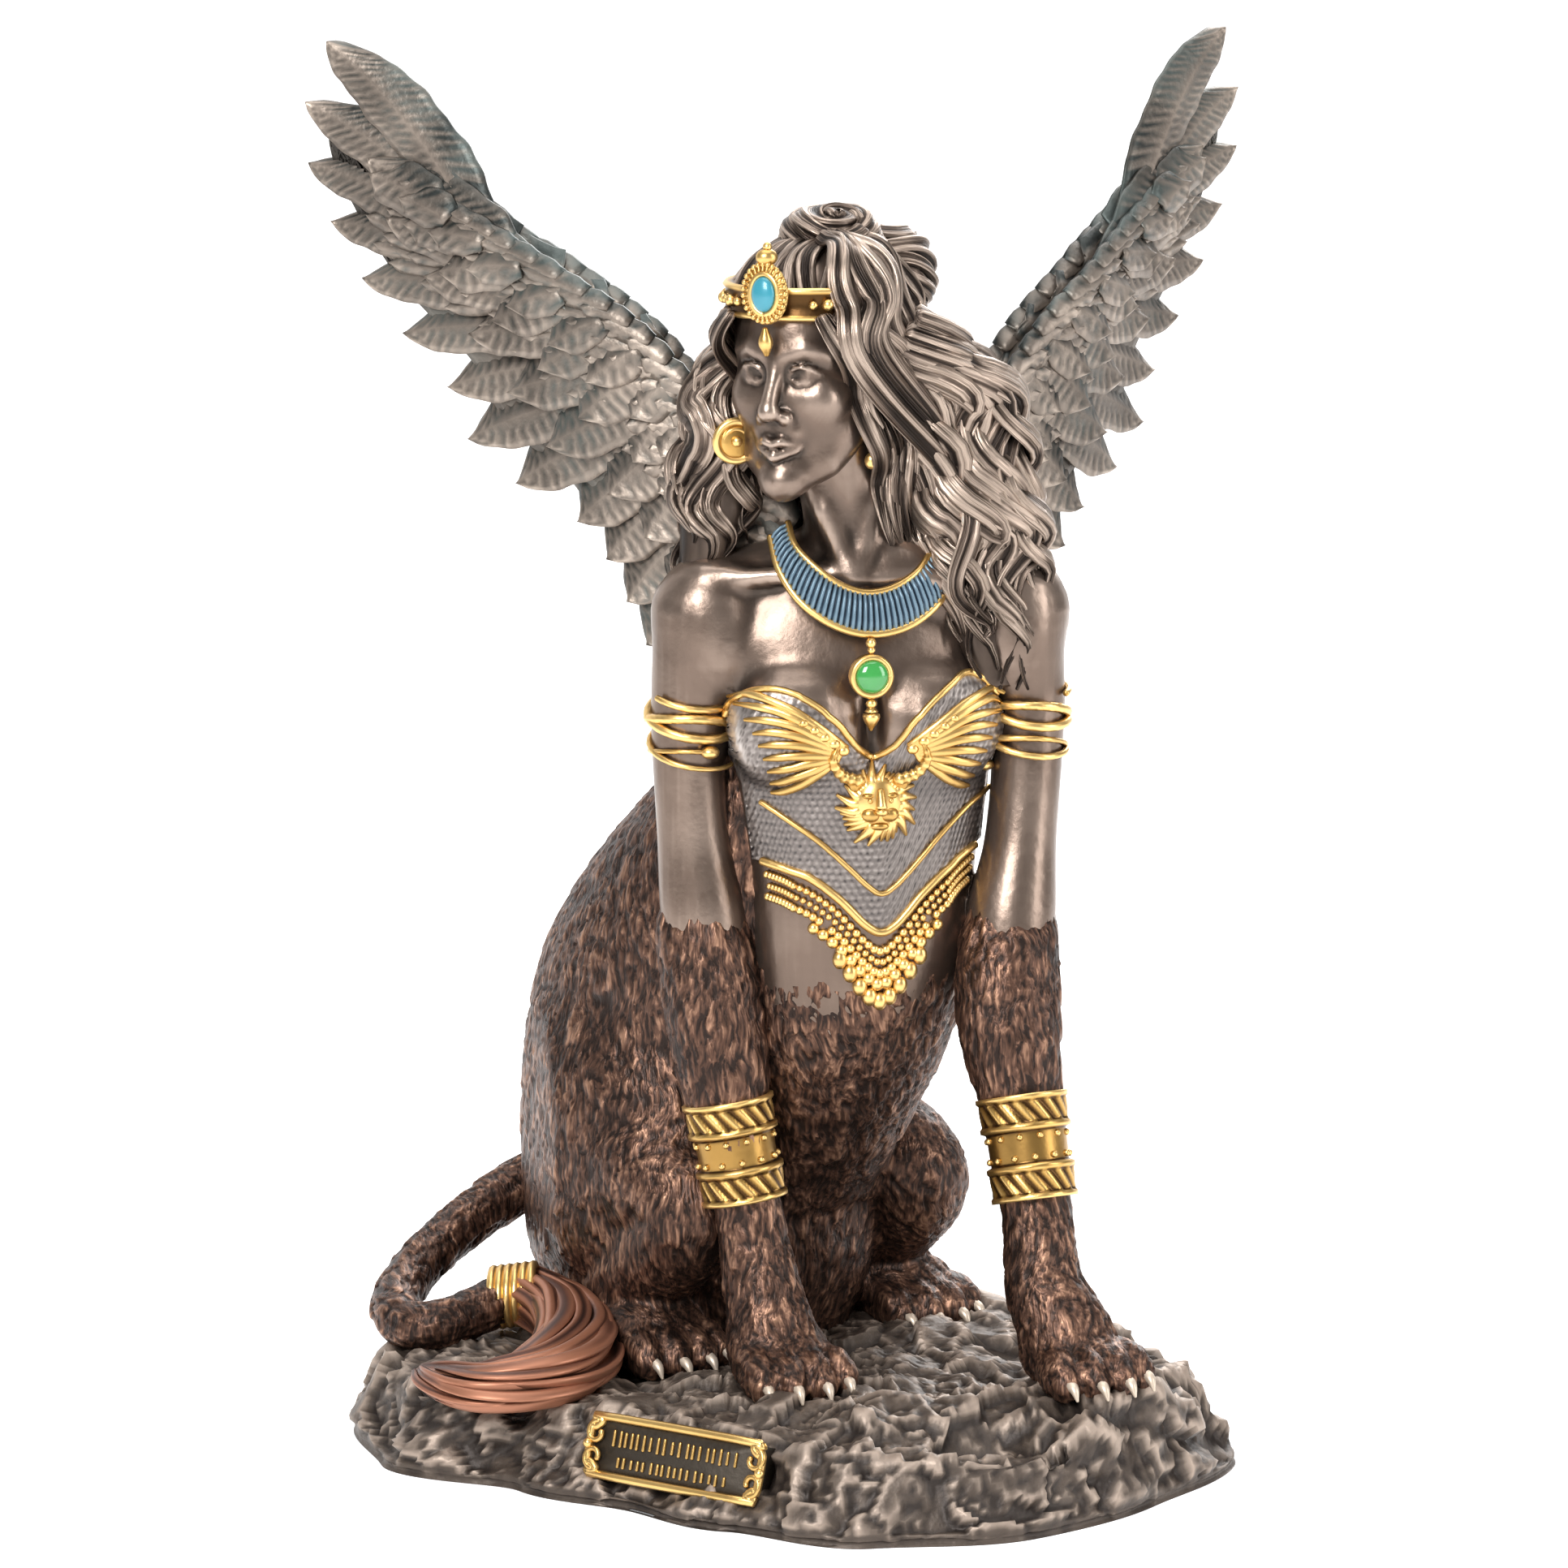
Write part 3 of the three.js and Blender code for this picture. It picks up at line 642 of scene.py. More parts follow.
# Strokes of fur raised on a piece of clay, along the directions of the nearest guides.
def furry(name, clay, guides, seed, relaxRounds=1, sink=None):
    points, faces = clay.mesh()
    points = relaxed(points, faces, relaxRounds)
    normal = normalsOf(points, faces)
    area = np.linalg.norm(
        np.cross(points[faces[:, 2]] - points[faces[:, 0]], points[faces[:, 3]] - points[faces[:, 1]]), axis=1
    ).sum() / 2
    source = np.random.default_rng(seed)
    count = min(len(points) // 3, int(area / (fur["length"] * fur["width"] * 2.6)))
    chosen = source.choice(len(points), count, replace=False)
    seeds = points[chosen] + source.uniform(-0.3, 0.3, (count, 3))
    spots = np.array([g[0] for g in guides], float)
    ways = unit(np.array([g[1] for g in guides], float))
    pull = 1 / (((seeds[:, None] - spots) ** 2).sum(-1) + 20) ** 2
    flow = unit((pull[..., None] * ways).sum(1))
    swirl = 0.5 * np.stack([noise(seeds, 13, 21), noise(seeds, 13, 22), noise(seeds, 13, 23)], 1)
    flow = flow + swirl
    side = normal[chosen]
    flow = unit(flow - (flow * side).sum(1, keepdims=True) * side)
    tree = KDTree(count)
    for i, p in enumerate(seeds):
        tree.insert(p, i)
    tree.balance()
    near = np.array([[hit[1] for hit in tree.find_n(p, 9)] for p in points])
    gap = points[:, None] - seeds[near]
    along = (gap * flow[near]).sum(-1)
    across = np.sqrt(np.maximum((gap**2).sum(-1) - along**2, 0))
    reach = np.sqrt((across / fur["width"]) ** 2 + (along / fur["length"]) ** 2)
    order = np.argsort(reach, axis=1)
    first = np.take_along_axis(reach, order[:, :1], 1)[:, 0]
    second = np.take_along_axis(reach, order[:, 1:2], 1)[:, 0]
    tip = np.take_along_axis(along, order[:, :1], 1)[:, 0] / fur["length"]
    own = np.take_along_axis(near, order[:, :1], 1)[:, 0]
    ridge = np.clip((second - first) / 0.75, 0, 1)
    height = fur["depth"] * (ridge - 0.55) + 0.16 * np.clip(tip, -1, 1)
    if sink is not None:
        height = height - sink(points)
    moved = points + normal * height[:, None]
    clump = noise(points, 7, seed)
    relief = np.clip(
        0.2 + 0.34 * ridge**1.2 + 0.12 * tip + 0.07 * clump + 0.08 * (
            hashed(np.stack([own, own * 0, own * 0], 1), 5) - 0.5
        ),
        0, 1
    )
    makePiece(name, (moved, faces), furBronze, "fur_bronze", relief=relief)


# A broad paw: a domed pad, four toes and the dips between them. The toes point along the frame's -Y.
def addPaw(clay, place, turn):
    x, y, z = place
    at = lambda px, py, pz=0: turned(x, y, turn, [px, py, z + pz])
    clay.add(ball(at(0, 1), (9.2, 9.4, 6.2), turn, 8), 2)
    for across in (-7, -2.5, 2.5, 7):
        ahead = -8.4 + abs(across) * 0.42
        clay.add(ball(at(across, ahead + 0.6, -0.6), (2.9, 5.4, 4.1), turn, 14), 1.1)
        clay.add(ball(at(across * 1.03, ahead - 2.6, -1.8), (2.3, 2.3, 2.5), turn), 1)


# Four curved claws for one paw.
def clawsOf(place, turn):
    x, y, z = place
    made = []
    for across in (-7, -2.5, 2.5, 7):
        ahead = -8.4 + abs(across) * 0.42
        rows = [
            turned(x, y, turn, [across * 1.04, ahead - 3.2, z - 0.9, 1.15, 1.0]),
            turned(x, y, turn, [across * 1.05, ahead - 5.4, z - 1.7, 0.85, 0.8]),
            turned(x, y, turn, [across * 1.05, ahead - 6.5, z - 3.4, 0.25, 0.25]),
        ]
        made.append(tube(rows, 10, 9, front=(0, 0, 1)))
    return made


rightPaw, leftPaw = ([-3.6, -17.5, 18.6], 10), ([42.6, -36, 21.5], 16)
hindPaws = [(onLion([side * 27, 22, 18]), lionTurn) for side in (-1, 1)]


def makeLion():
    back = [[46, 10, 24, 26], [47, 26, 29, 33], [46, 45, 30.5, 36], [43, 62, 31, 37], [38, 78, 30.5, 37.5],
            [31, 92, 28, 35], [23, 106, 24.5, 28], [14, 120, 19.5, 19], [8, 134, 14, 9]]
    clay = Clay([-36, -32, 8], [82, 96, 146], fur["voxel"])
    clay.add(stack([onLion([0, b, z, w, d]) for b, z, w, d in back], 56, 60, lionTurn))
    clay.add(stack([onChest(row) for row in trunk[:4]] + [onChest([0, 0.4, 92, 18.2, 11.4])]), 3)
    guides = []
    for side, across in ((-1, 21.5), (1, 16.5)):
        clay.add(ball(onLion([side * across, 42, 49]), (14.8, 28, 30), lionTurn, 10, 40, 28), 2.4)
        clay.add(
            tube(
                [
                    onLion([side * (across + 2), 26, 47, 12, 12]), onLion([side * 24, 17, 40, 9.6, 10]),
                    onLion([side * 26, 32, 24, 7, 7])
                ]
            ),
            2.4
        )
        clay.add(
            tube([onLion([side * 26, 46, 20, 6.5, 6]), onLion([side * 27, 22, 19, 9, 6])], front=(0, 0, 1)), 2
        )
        addPaw(clay, *hindPaws[side > 0])
        for b, z, way in (
            (60, 40, (0, 0.2, -1)), (45, 76, (0, 0.5, -1)), (24, 66, (0, -0.4, -1)), (12, 44, (0, 0.1, -1)),
            (36, 40, (0, 0.5, -1)), (40, 18, (0, -1, -0.1)), (16, 18, (0, -1, -0.3))
        ):
            guides.append((onLion([side * (across + 12), b, z]), turned(0, 0, lionTurn, way)))
    for b, z, way in (
        (80, 60, (0, 0.15, -1)), (70, 96, (0, 0.5, -1)), (40, 122, (0, 1, -0.8)), (14, 134, (0, 1, -0.3)),
        (84, 24, (0, 0, -1)), (-6, 74, (0, 0, -1)), (4, 50, (0, 0, -1))
    ):
        guides.append((onLion([0, b, z]), turned(0, 0, lionTurn, way)))
    middle = onChest([0, 2])
    belly = lambda p: 1.5 * smoothstep(
        81, 88.5, p[:, 2] + 1.6 * noise(p * [1, 1, 0.25], 1.6, 6)
    ) * smoothstep(26, 20, np.hypot(p[:, 0] - middle[0], p[:, 1] - middle[1]))
    furry("lion_body", clay, guides, 31, sink=belly)
    print("lion body made", parts[-1])

    clay = Clay([-30, -56, 8], [66, 16, 104], fur["voxel"] * 0.85)
    guides = []
    for arm, pawPlace in ((rightArm, rightPaw), (leftArm, leftPaw)):
        rows = [list(r) + ([r[3]] if len(r) == 4 else []) for r in arm]
        top = [rows[3][0], rows[3][1], 96.5, 7.7, 7.4]
        clay.add(tube([top, *rows[3:]], 32, 50), 1.2)
        clay.egg([rows[3][0], rows[3][1] + 2.5, 90], (7.4, 7.6, 9), 3)
        addPaw(clay, *pawPlace)
        for a, b in zip(rows[2:], rows[3:]):
            guides.append((np.mean([a[:3], b[:3]], 0), np.subtract(b[:3], a[:3])))
        guides.append((np.add(pawPlace[0], [-1, -7, 4]), (0, -1, -0.4)))
    furry(
        "forelegs", clay, guides, 32,
        sink=lambda p: 2.2 * smoothstep(89, 99, p[:, 2] + 2.4 * noise(p * [1, 1, 0.2], 1.6, 7))
    )
    print("forelegs made", parts[-1])
    claws = joined([c for place in (rightPaw, leftPaw, *hindPaws) for c in clawsOf(*place)])
    makePiece("claws", claws, finish("claw", claw, 0), "bronze", relief=np.full(len(claws[0]), 0.7))


def makeTail():
    cord = [
        [-16, 60, 40, 5.2], [-34, 60, 34, 4.8], [-50, 50, 27, 4.5], [-60, 38, 21.5, 4.3], [-63, 27, 19, 4.2],
        [-59, 20, 18.6, 4.2], [-51, 22, 20, 4.2], [-43, 26, 22, 4.2]
    ]
    clay = Clay([-70, 12, 12], [-2, 74, 52], 0.55)
    clay.add(tube(cord, 24, 90, front=(0, 0, 1)), 1)
    guides = [(np.mean([a[:3], b[:3]], 0), np.subtract(b[:3], a[:3])) for a, b in zip(cord, cord[1:])]
    furry("tail", clay, guides, 33)
    tuft = [[-41, 26, 22.4, 4.4, 4.2], [-36, 15, 21, 5.6, 4.8], [-36, 1, 19, 7.4, 5], [-43, -13, 18, 8, 4.6],
            [-54, -16, 17, 7, 4], [-61, -9, 16.6, 4.4, 3], [-63.4, -2, 16.4, 1.6, 1.4]]
    strands = [tube([[*r[:3], r[3] * 0.7, r[4] * 0.75] for r in tuft], 20, 50, front=(0, 0, 1))]
    path = eased(tuft, 20)
    along = unit(np.gradient(path[:, :3], axis=0))
    across = unit(np.cross([0, 0, 1.0], along))
    deep = np.cross(along, across)
    source = np.random.default_rng(12)
    for i in range(22):
        a = 2 * np.pi * i / 22
        rows = []
        last = source.integers(15, 20)
        for j in range(last + 1):
            t = j / 19
            turn = a + 1.1 * t + 0.28 * math.sin(7 * t + i)
            out = 0.82 + 0.12 * math.sin(9 * t + 2 * i)
            sideways = across[j] * math.cos(turn) * path[j, 3]
            p = path[j, :3] + sideways * out + deep[j] * math.sin(turn) * path[j, 4] * out
            p[2] = max(p[2], 14.6)
            rows.append([*p, 1.5 * (1 - 0.75 * (j / last) ** 3)])
        strands.append(lockOf(rows, 3, 14, 44, 0.75, 500 + i, (0, 0, 1)))
    made = joined(strands)
    cavity = ridgesOf(made, 5)
    makePiece(
        "tail_tuft", made, finish("tuft", tuftHair, 0), "fur_bronze", relief=np.clip(0.2 + 3.0 * cavity, 0, 1)
    )


makeLion()


# Face
face = {"voxel": 0.45, "x": 3.2, "y": -5, "z": 187, "turn": -38, "size": 1.07}


def makeFace():
    clay = Clay([-13, -20, -25], [13, 18, 22], face["voxel"])
    clay.egg([0, 1.5, 4], [12.0, 14.6, 14.8], 1)
    clay.egg([0, -3.4, -5.5], [9.4, 9.4, 12.8], 2)
    clay.rod(
        [[-8.2, 0.5, -8], [-5.6, -6, -14.6], [0, -9.8, -17.4], [5.6, -6, -14.6], [8.2, 0.5, -8]],
        [2.4, 2.2, 2.8, 2.2, 2.4], 4
    )
    clay.egg([0, -10.0, -17.2], [3.3, 3.0, 3.0], 2.4)
    for s in (-1, 1):
        clay.egg([s * 5.7, -8.4, -4.8], [3.2, 3.0, 3.4], 3)
        clay.egg([s * 4.2, -13.6, -0.6], [3.0, 2.5, 1.9], 2.0, dig=True)
        clay.rod([[s * 1.9, -12.1, 2.1], [s * 4.6, -11.7, 3.2], [s * 7.4, -9.4, 2.4]], [0.75, 0.8, 0.6], 2.0)
        clay.egg([s * 4.15, -9.9, -0.7], [2.25, 2.25, 2.0], 0.5)
        clay.rod(
            [
                [s * 1.9, -11.7, -1.2], [s * 3.0, -12.35, 0.2], [s * 4.4, -12.3, 0.6], [s * 5.7, -11.5, 0.2],
                [s * 6.7, -10.2, -0.7]
            ],
            0.4, 0.5
        )
        clay.rod(
            [
                [s * 2.1, -11.7, -1.4], [s * 3.4, -12.05, -2.05], [s * 5.0, -11.7, -2.0],
                [s * 6.3, -10.5, -1.1]
            ],
            0.3, 0.5
        )
        clay.egg([s * 1.75, -13.0, -7.4], [1.15, 1.5, 1.05], 0.9)
        clay.egg([s * 9.6, 2.2, -4.6], [1.3, 2.7, 4.2], 0.8)
        clay.egg([s * 10.7, 1.6, -4.0], [0.8, 1.5, 2.6], 0.8, dig=True)
    clay.rod([[0, -11.6, 2.2], [0, -13.2, -1.6], [0, -15.0, -5.4]], [1.35, 1.1, 1.35], 1.6)
    clay.egg([0, -15.1, -6.5], [1.55, 1.6, 1.35], 1.0)
    clay.egg([0, -11.4, -9.9], [3.6, 1.6, 2.0], 2.0)
    clay.rod(
        [
            [-3.6, -11.4, -12.0], [-1.2, -13.5, -11.1], [0, -13.5, -11.5], [1.2, -13.5, -11.1],
            [3.6, -11.4, -12.0]
        ],
        [0.35, 0.72, 0.7, 0.72, 0.35], 0.8
    )
    clay.rod([[-3.0, -11.6, -12.6], [0, -13.2, -13.4], [3.0, -11.6, -12.6]], [0.4, 0.95, 0.4], 0.8)
    clay.rod(
        [
            [-3.7, -12.1, -12.0], [-1.3, -14.3, -12.0], [0, -14.4, -12.25], [1.3, -14.3, -12.0],
            [3.7, -12.1, -12.0]
        ],
        0.3, 0.5, dig=True
    )
    for s in (-1, 1):
        clay.egg([s * 0.85, -14.2, -8.5], [0.5, 0.7, 0.6], 0.4, dig=True)
    points, faces = clay.mesh()
    points = points * face["size"] + [0, 0, 3 * (1 - face["size"])]
    cavity = ridgesOf((points, faces), 10)
    pupil = sum(
        smoothstep(
            1.25, 0.85, np.hypot(points[:, 0] - s * 4.0 * face["size"], points[:, 2] + 0.7 * face["size"])
        ) * (points[:, 1] < -11.2)
        for s in (-1, 1)
    )
    c, s = math.cos(math.radians(face["turn"])), math.sin(math.radians(face["turn"]))
    placed = np.stack(
        [
            face["x"] + points[:, 0] * c - points[:, 1] * s, face["y"] + points[:, 0] * s + points[:, 1] * c,
            face["z"] + points[:, 2]
        ],
        1
    )
    normal = normalsOf(placed, faces)
    # Dark in the hollows and bright on the ridges, with the pupils marked dark, plus painted light from
    # above: the face is painted lighter where it faces up.
    relief = np.clip(0.46 + 2.2 * cavity + 0.12 * normal[:, 2] - 0.35 * pupil, 0.02, 0.9)
    makePiece("face", (placed, faces), skinBronze, "bronze", relief=relief)


makeFace()
print("face made", parts[-1])


# Hair
hairStyle = {
    "dark": (0.02, 0.014, 0.011), "main": (0.1, 0.072, 0.056), "bright": (0.37, 0.29, 0.235), "rough": 0.36,
    "metal": 0.85
}
hairBronze = finish("hair bronze", hairStyle, 0.9, mottle=0.1, strands=0.85)
hairMassBronze = finish("hair mass bronze", {**hairStyle, "rough": 0.4, "metal": 0.8}, mottle=0.15)


# For each point of a lock, its place round the lock and along it, for the strands of the finish.
def strandOf(shape, sides, number):
    count = (len(shape[0]) - 2) // sides
    angle = np.tile(np.linspace(0, 2 * np.pi, sides, endpoint=False), count)
    share = np.repeat(np.linspace(0, 1, count), sides)
    made = np.stack([3.4 * np.cos(angle) + 17.0 * number, 3.4 * np.sin(angle), 2.6 * share], 1)
    return np.concatenate([made, made[:1], made[-1:]])


strandSides = []


# One ribbed, tapering lock along rows of x, y, z and half width.
def lockOf(path, ribs=4, sides=26, count=56, flat=0.62, seed=0, front=(0, -1, 0)):
    rows = [[*p[:3], p[3], p[3] * flat] for p in path]
    source = np.random.default_rng(seed)
    one, two = source.uniform(0, 6.28, 2)
    strand = lambda angle, share: 1 + 0.2 * np.sin(ribs * angle + one + 1.5 * share) + 0.06 * np.sin(
        (2 * ribs + 3) * angle + two - 4 * share
    )
    strandSides.append(sides)
    return tube(rows, sides, count, front=front, cap=0.9, ribs=strand)


# Locks laid round a fall of hair given by level ovals.
def fallOf(levels, locks, waves, width, seed, arc=(0, 360), swing=0.22, lengths=(0.8, 1.02)):
    source = np.random.default_rng(seed)
    path = eased(levels, 60)
    made = []
    for i in range(locks):
        base = math.radians(arc[0] + (arc[1] - arc[0]) * (i + source.uniform(0.2, 0.8)) / locks)
        phase, bulge = source.uniform(0, 6.28), source.uniform(0.9, 1.06)
        end = min(1.0, source.uniform(*lengths))
        start = source.uniform(0, 0.06)
        size = width * source.uniform(0.75, 1.2)
        rows = []
        for t in np.linspace(start, end, 28):
            row = path[int(round(t * 59))]
            turn = base + swing * math.sin(waves * 6.28 * t + phase)
            out = bulge * (0.86 + 0.2 * math.sin(waves * 6.28 * t + phase + 1.3))
            taper = size * (0.55 + 0.75 * math.sin(3.0 * min(t / end + 0.12, 1))) * (
                1 if t < end * 0.8 else 1.0 - 0.8 * (t - end * 0.8) / (end * 0.2)
            )
            rows.append(
                [
                    row[0] + math.cos(turn) * row[3] * out, row[1] + math.sin(turn) * row[4] * out, row[2],
                    max(taper, 0.3)
                ]
            )
        facing = (math.cos(base), math.sin(base), 0.05)
        made.append(lockOf(rows, 5, 20, 46, 0.7, seed * 100 + i, facing))
    return made


def makeHair():
    turn = face["turn"]
    cap = [
        onHead(r)
        for r in ([0, 7, -8, 12.4, 9.6], [0, 5, 4, 15.0, 14.6], [0, 4, 13, 14.4, 14], [0, 5, 19, 9, 9.4])
    ]
    left = [
        onHead([9, 2, 8, 9, 9]), [25.5, -4, 182, 10, 8.6], [29.6, -6, 164, 10.6, 7.6],
        [31.6, -8.4, 149, 9.2, 6.2], [33, -11.5, 132, 4.6, 3.6]
    ]
    right = [
        onHead([-9, 4, 8, 4.6, 6.4]), [-9.6, 2, 180, 6.4, 6.2], [-11.6, 2, 164, 7.2, 6],
        [-14, 1.5, 149, 5, 4.6]
    ]
    rear = [
        onHead([0, 14, 6, 10.4, 8.4]), [14, 8, 176, 14.2, 8.4], [13, 13, 156, 12.2, 5.4],
        [12, 15, 134, 6.4, 3]
    ]
    clay = Clay([-24, -30, 128], [48, 26, 216], 1.05)
    clay.add(stack(cap, turn=turn), 1)
    for levels in (left, right, rear):
        slim = [[*r[:3], r[3] * 0.86, r[4] * 0.86] for r in levels]
        clay.add(stack(slim), 2)
    clay.add(ball([7.4, -1, 205.4], (7.4, 6.8, 5.6)), 1)
    clay.add(ball([17.4, 4, 200], (7.8, 7.8, 7.6)), 1)
    points, faces = clay.mesh()
    normal = normalsOf(points, faces)
    wave = noise(points * [1, 1, 0.22], 1.5, 4)
    moved = points + normal * (0.4 * wave - 0.3)[:, None]
    makePiece("hair_mass", (moved, faces), hairMassBronze, "bronze", relief=np.clip(0.3 + 0.35 * wave, 0, 1))

    locks = fallOf(left, 15, 2.9, 2.1, 5, swing=0.38)
    locks += fallOf(
        [[r[0] + 1.2, r[1] - 1.5, r[2], r[3], r[4]] for r in left], 9, 3.1, 1.9, 6, arc=(180, 370), swing=0.44
    )
    locks += fallOf(right, 11, 2.8, 1.9, 7, swing=0.44)
    locks += fallOf(rear, 12, 2.9, 2.5, 8, swing=0.24)
    # from the brow back over the crown to the knot
    source = np.random.default_rng(9)
    knot = np.array(onHead([1.5, 7, 17]))
    for i in range(22):
        angle = math.radians(-168 + 336 * (i + 0.5) / 22 - 90)
        rim = np.array([0, 1, 0]) + [12.7 * math.cos(angle), 14.3 * math.sin(angle), 11.6]
        start = np.array(onHead(rim.tolist()))
        rows = []
        bend = source.uniform(-1.4, 1.4)
        side = unit(np.cross(knot - start, [0, 0, 1.0]))
        for t in np.linspace(0, 1, 12):
            rise = 5.2 * math.sin(math.pi * min(t * 1.05, 1)) ** 0.8
            p = start + (knot - start) * t + [0, 0, rise] + side * bend * math.sin(2 * math.pi * t)
            rows.append([*p, 1.9 * (1 - 0.35 * t)])
        locks.append(lockOf(rows, 4, 18, 30, 0.6, 300 + i, (0.1, 0, 1)))
    # round the temples into the falls
    for s in (-1, 1):
        for k in range(5):
            rows = [
                onHead([s * (8.6 + 0.9 * k), -13.0 + 3.2 * k, 8.5, 1.5]),
                onHead([s * (11.6 + 0.7 * k), -9.4 + 3 * k, 2 + k, 2.1]),
                onHead([s * (11.2 + 0.9 * k), -3.6 + 2.2 * k, -6, 2.3]),
                onHead([s * (13.4 + 0.8 * k), -0.5 + 2.0 * k, -14, 2.0]),
                onHead([s * (12.2 + 0.9 * k), 1.6 + 1.6 * k, -22, 1.7]),
                onHead([s * (14.6 + 0.8 * k), 1 + 1.5 * k, -30, 0.5])
            ]
            fine = eased(rows, 26)
            fine[:, :2] += np.outer(
                1.5 * np.sin(np.linspace(0, 15, 26) + 1.1 * k), turned(0, 0, face["turn"], [0.4 * s, -1])[:2]
            )
            locks.append(
                lockOf(
                    fine, 4, 20, 44, 0.66, 340 + 10 * s + k,
                    onHead([s, -0.4, 0])[:3] - np.array([face["x"], face["y"], face["z"]])
                )
            )
    # over the band on her left, into the long fall
    for k in range(9):
        a = math.radians(-39 + 12 * k)
        ring = lambda r, z, w: onHead([14.4 * r * math.cos(a), 1 + 16.4 * r * math.sin(a), z, w])
        end = [24 + 1.5 * k - 0.1 * k * k, -13.5 + 1.5 * k, 172 - 1.0 * k]
        rows = [
            ring(0.35, 21, 1.6), ring(0.78, 18.5, 2.1), ring(1.06, 11.5, 2.3), ring(1.17, 3, 2.3),
            [*end, 2.1], [end[0] + 3.5, end[1] - 1, end[2] - 12, 1.9],
            [end[0] + 4, end[1] - 1.5, end[2] - 24, 1.5], [end[0] + 6, end[1] - 1.5, end[2] - 30, 0.5]
        ]
        fine = eased(rows, 34)
        fine[:, 0] += 2.2 * np.sin(np.linspace(0, 21, 34) + 1.3 * k) * np.linspace(0.15, 1, 34)
        fine[:, 1] += 1.4 * np.cos(np.linspace(0, 21, 34) + 1.3 * k) * np.linspace(0.15, 1, 34)
        locks.append(
            lockOf(
                fine, 4, 19, 60, 0.66, 400 + k,
                onHead([math.cos(a), math.sin(a), 0])[:3] - np.array([face["x"], face["y"], face["z"]])
            )
        )
    # the two knots, each wound of coils
    for centre, radii, tilt, seed in (
        ((7.4, -1, 205.4), (8.2, 7.6, 6.2), 0.5, 60), ((17.6, 4, 199.8), (8.2, 8, 7.8), -0.5, 80)
    ):
        for k in range(6):
            level = -0.85 + 1.7 * (k + 0.5) / 6
            ring = []
            for a in np.linspace(0, 2 * np.pi * 1.08, 22):
                r = math.sqrt(max(1 - level**2, 0.05)) * 0.9
                p = np.array(
                    [
                        math.cos(a + k) * r, math.sin(a + k) * r,
                        level + 0.12 * math.sin(a * 2 + k) + 0.1 * a / 6.28
                    ]
                )
                p = np.array(
                    [
                        p[0], p[1] * math.cos(tilt) - p[2] * math.sin(tilt),
                        p[1] * math.sin(tilt) + p[2] * math.cos(tilt)
                    ]
                )
                ring.append([*(np.array(centre) + p * radii), 1.75])
            locks.append(lockOf(ring, 4, 18, 44, 0.75, seed + k, (0.2, 0.1, 1)))
        swirl = []
        for a in np.linspace(0, 2 * np.pi * 1.4, 22):
            r = 0.56 * (1 - a / (2 * np.pi * 1.4)) + 0.03
            p = np.array([math.cos(a) * r, math.sin(a) * r, 0.78 + 0.2 * a / (2 * np.pi * 1.4)])
            p = np.array(
                [
                    p[0], p[1] * math.cos(tilt) - p[2] * math.sin(tilt),
                    p[1] * math.sin(tilt) + p[2] * math.cos(tilt)
                ]
            )
            swirl.append([*(np.array(centre) + p * radii), 1.8])
        locks.append(lockOf(swirl, 4, 18, 44, 0.75, seed + 9, (0.2, 0.1, 1)))
    hair = joined(locks)
    strands = np.concatenate(
        [strandOf(lock, sides, i) for i, (lock, sides) in enumerate(zip(locks, strandSides))]
    )
    cavity = ridgesOf(hair, 3)
    relief = np.clip(0.25 + 3.6 * cavity + 0.12 * noise(hair[0], 6, 8), 0, 1)
    makePiece("hair", hair, hairBronze, "bronze", strand=strands, relief=relief)


makeHair()
makeTail()
print("hair and tail made", parts[-1])


# Wings
wings = {
    "middle": 12.8, "dark": (0.03, 0.034, 0.032), "main": (0.2, 0.165, 0.137), "bright": (0.52, 0.43, 0.355),
    "verdigris": (0.125, 0.155, 0.145), "rough": 0.45, "metal": 0.75,
}
wingBronze = finish("wing bronze", wings, 0.35, patina=wings["verdigris"])


wingPlan = eased([[10, 7], [22, 10], [32, 14.5], [42, 22], [55, 38], [68, 53.5], [80, 66], [90, 75]])
planSlope = unit(np.gradient(wingPlan, axis=0))
bone = eased([[12, 158], [20, 170], [27, 179], [35, 189], [45, 197], [55, 204], [64, 210], [71, 217]])
quills = eased([[14, 150], [20, 160], [27, 169], [33, 178], [39, 186.5], [45, 194], [52, 199.5], [57, 204.5]])
tips = eased(
    [
        [27, 130], [34, 138], [38, 149], [44, 158], [57, 166.5], [62, 179], [72, 192], [79, 206], [83, 221],
        [79, 237]
    ]
)


def pick(path, share):
    t = np.clip(share, 0, 1) * (len(path) - 1)
    i = np.minimum(np.asarray(t).astype(int), len(path) - 2)
    return path[i] + (path[i + 1] - path[i]) * np.expand_dims(t - i, -1)


# Places on a wing's curved sheet, lift in front of its middle face.
def onWing(side, out, z, lift):
    y = np.interp(out, wingPlan[:, 0], wingPlan[:, 1])
    slopeX = np.interp(out, wingPlan[:, 0], planSlope[:, 0])
    slopeY = np.interp(out, wingPlan[:, 0], planSlope[:, 1])
    return np.stack([wings["middle"] + side * (out + slopeY * lift), y - slopeX * lift, z + 0 * out], -1)


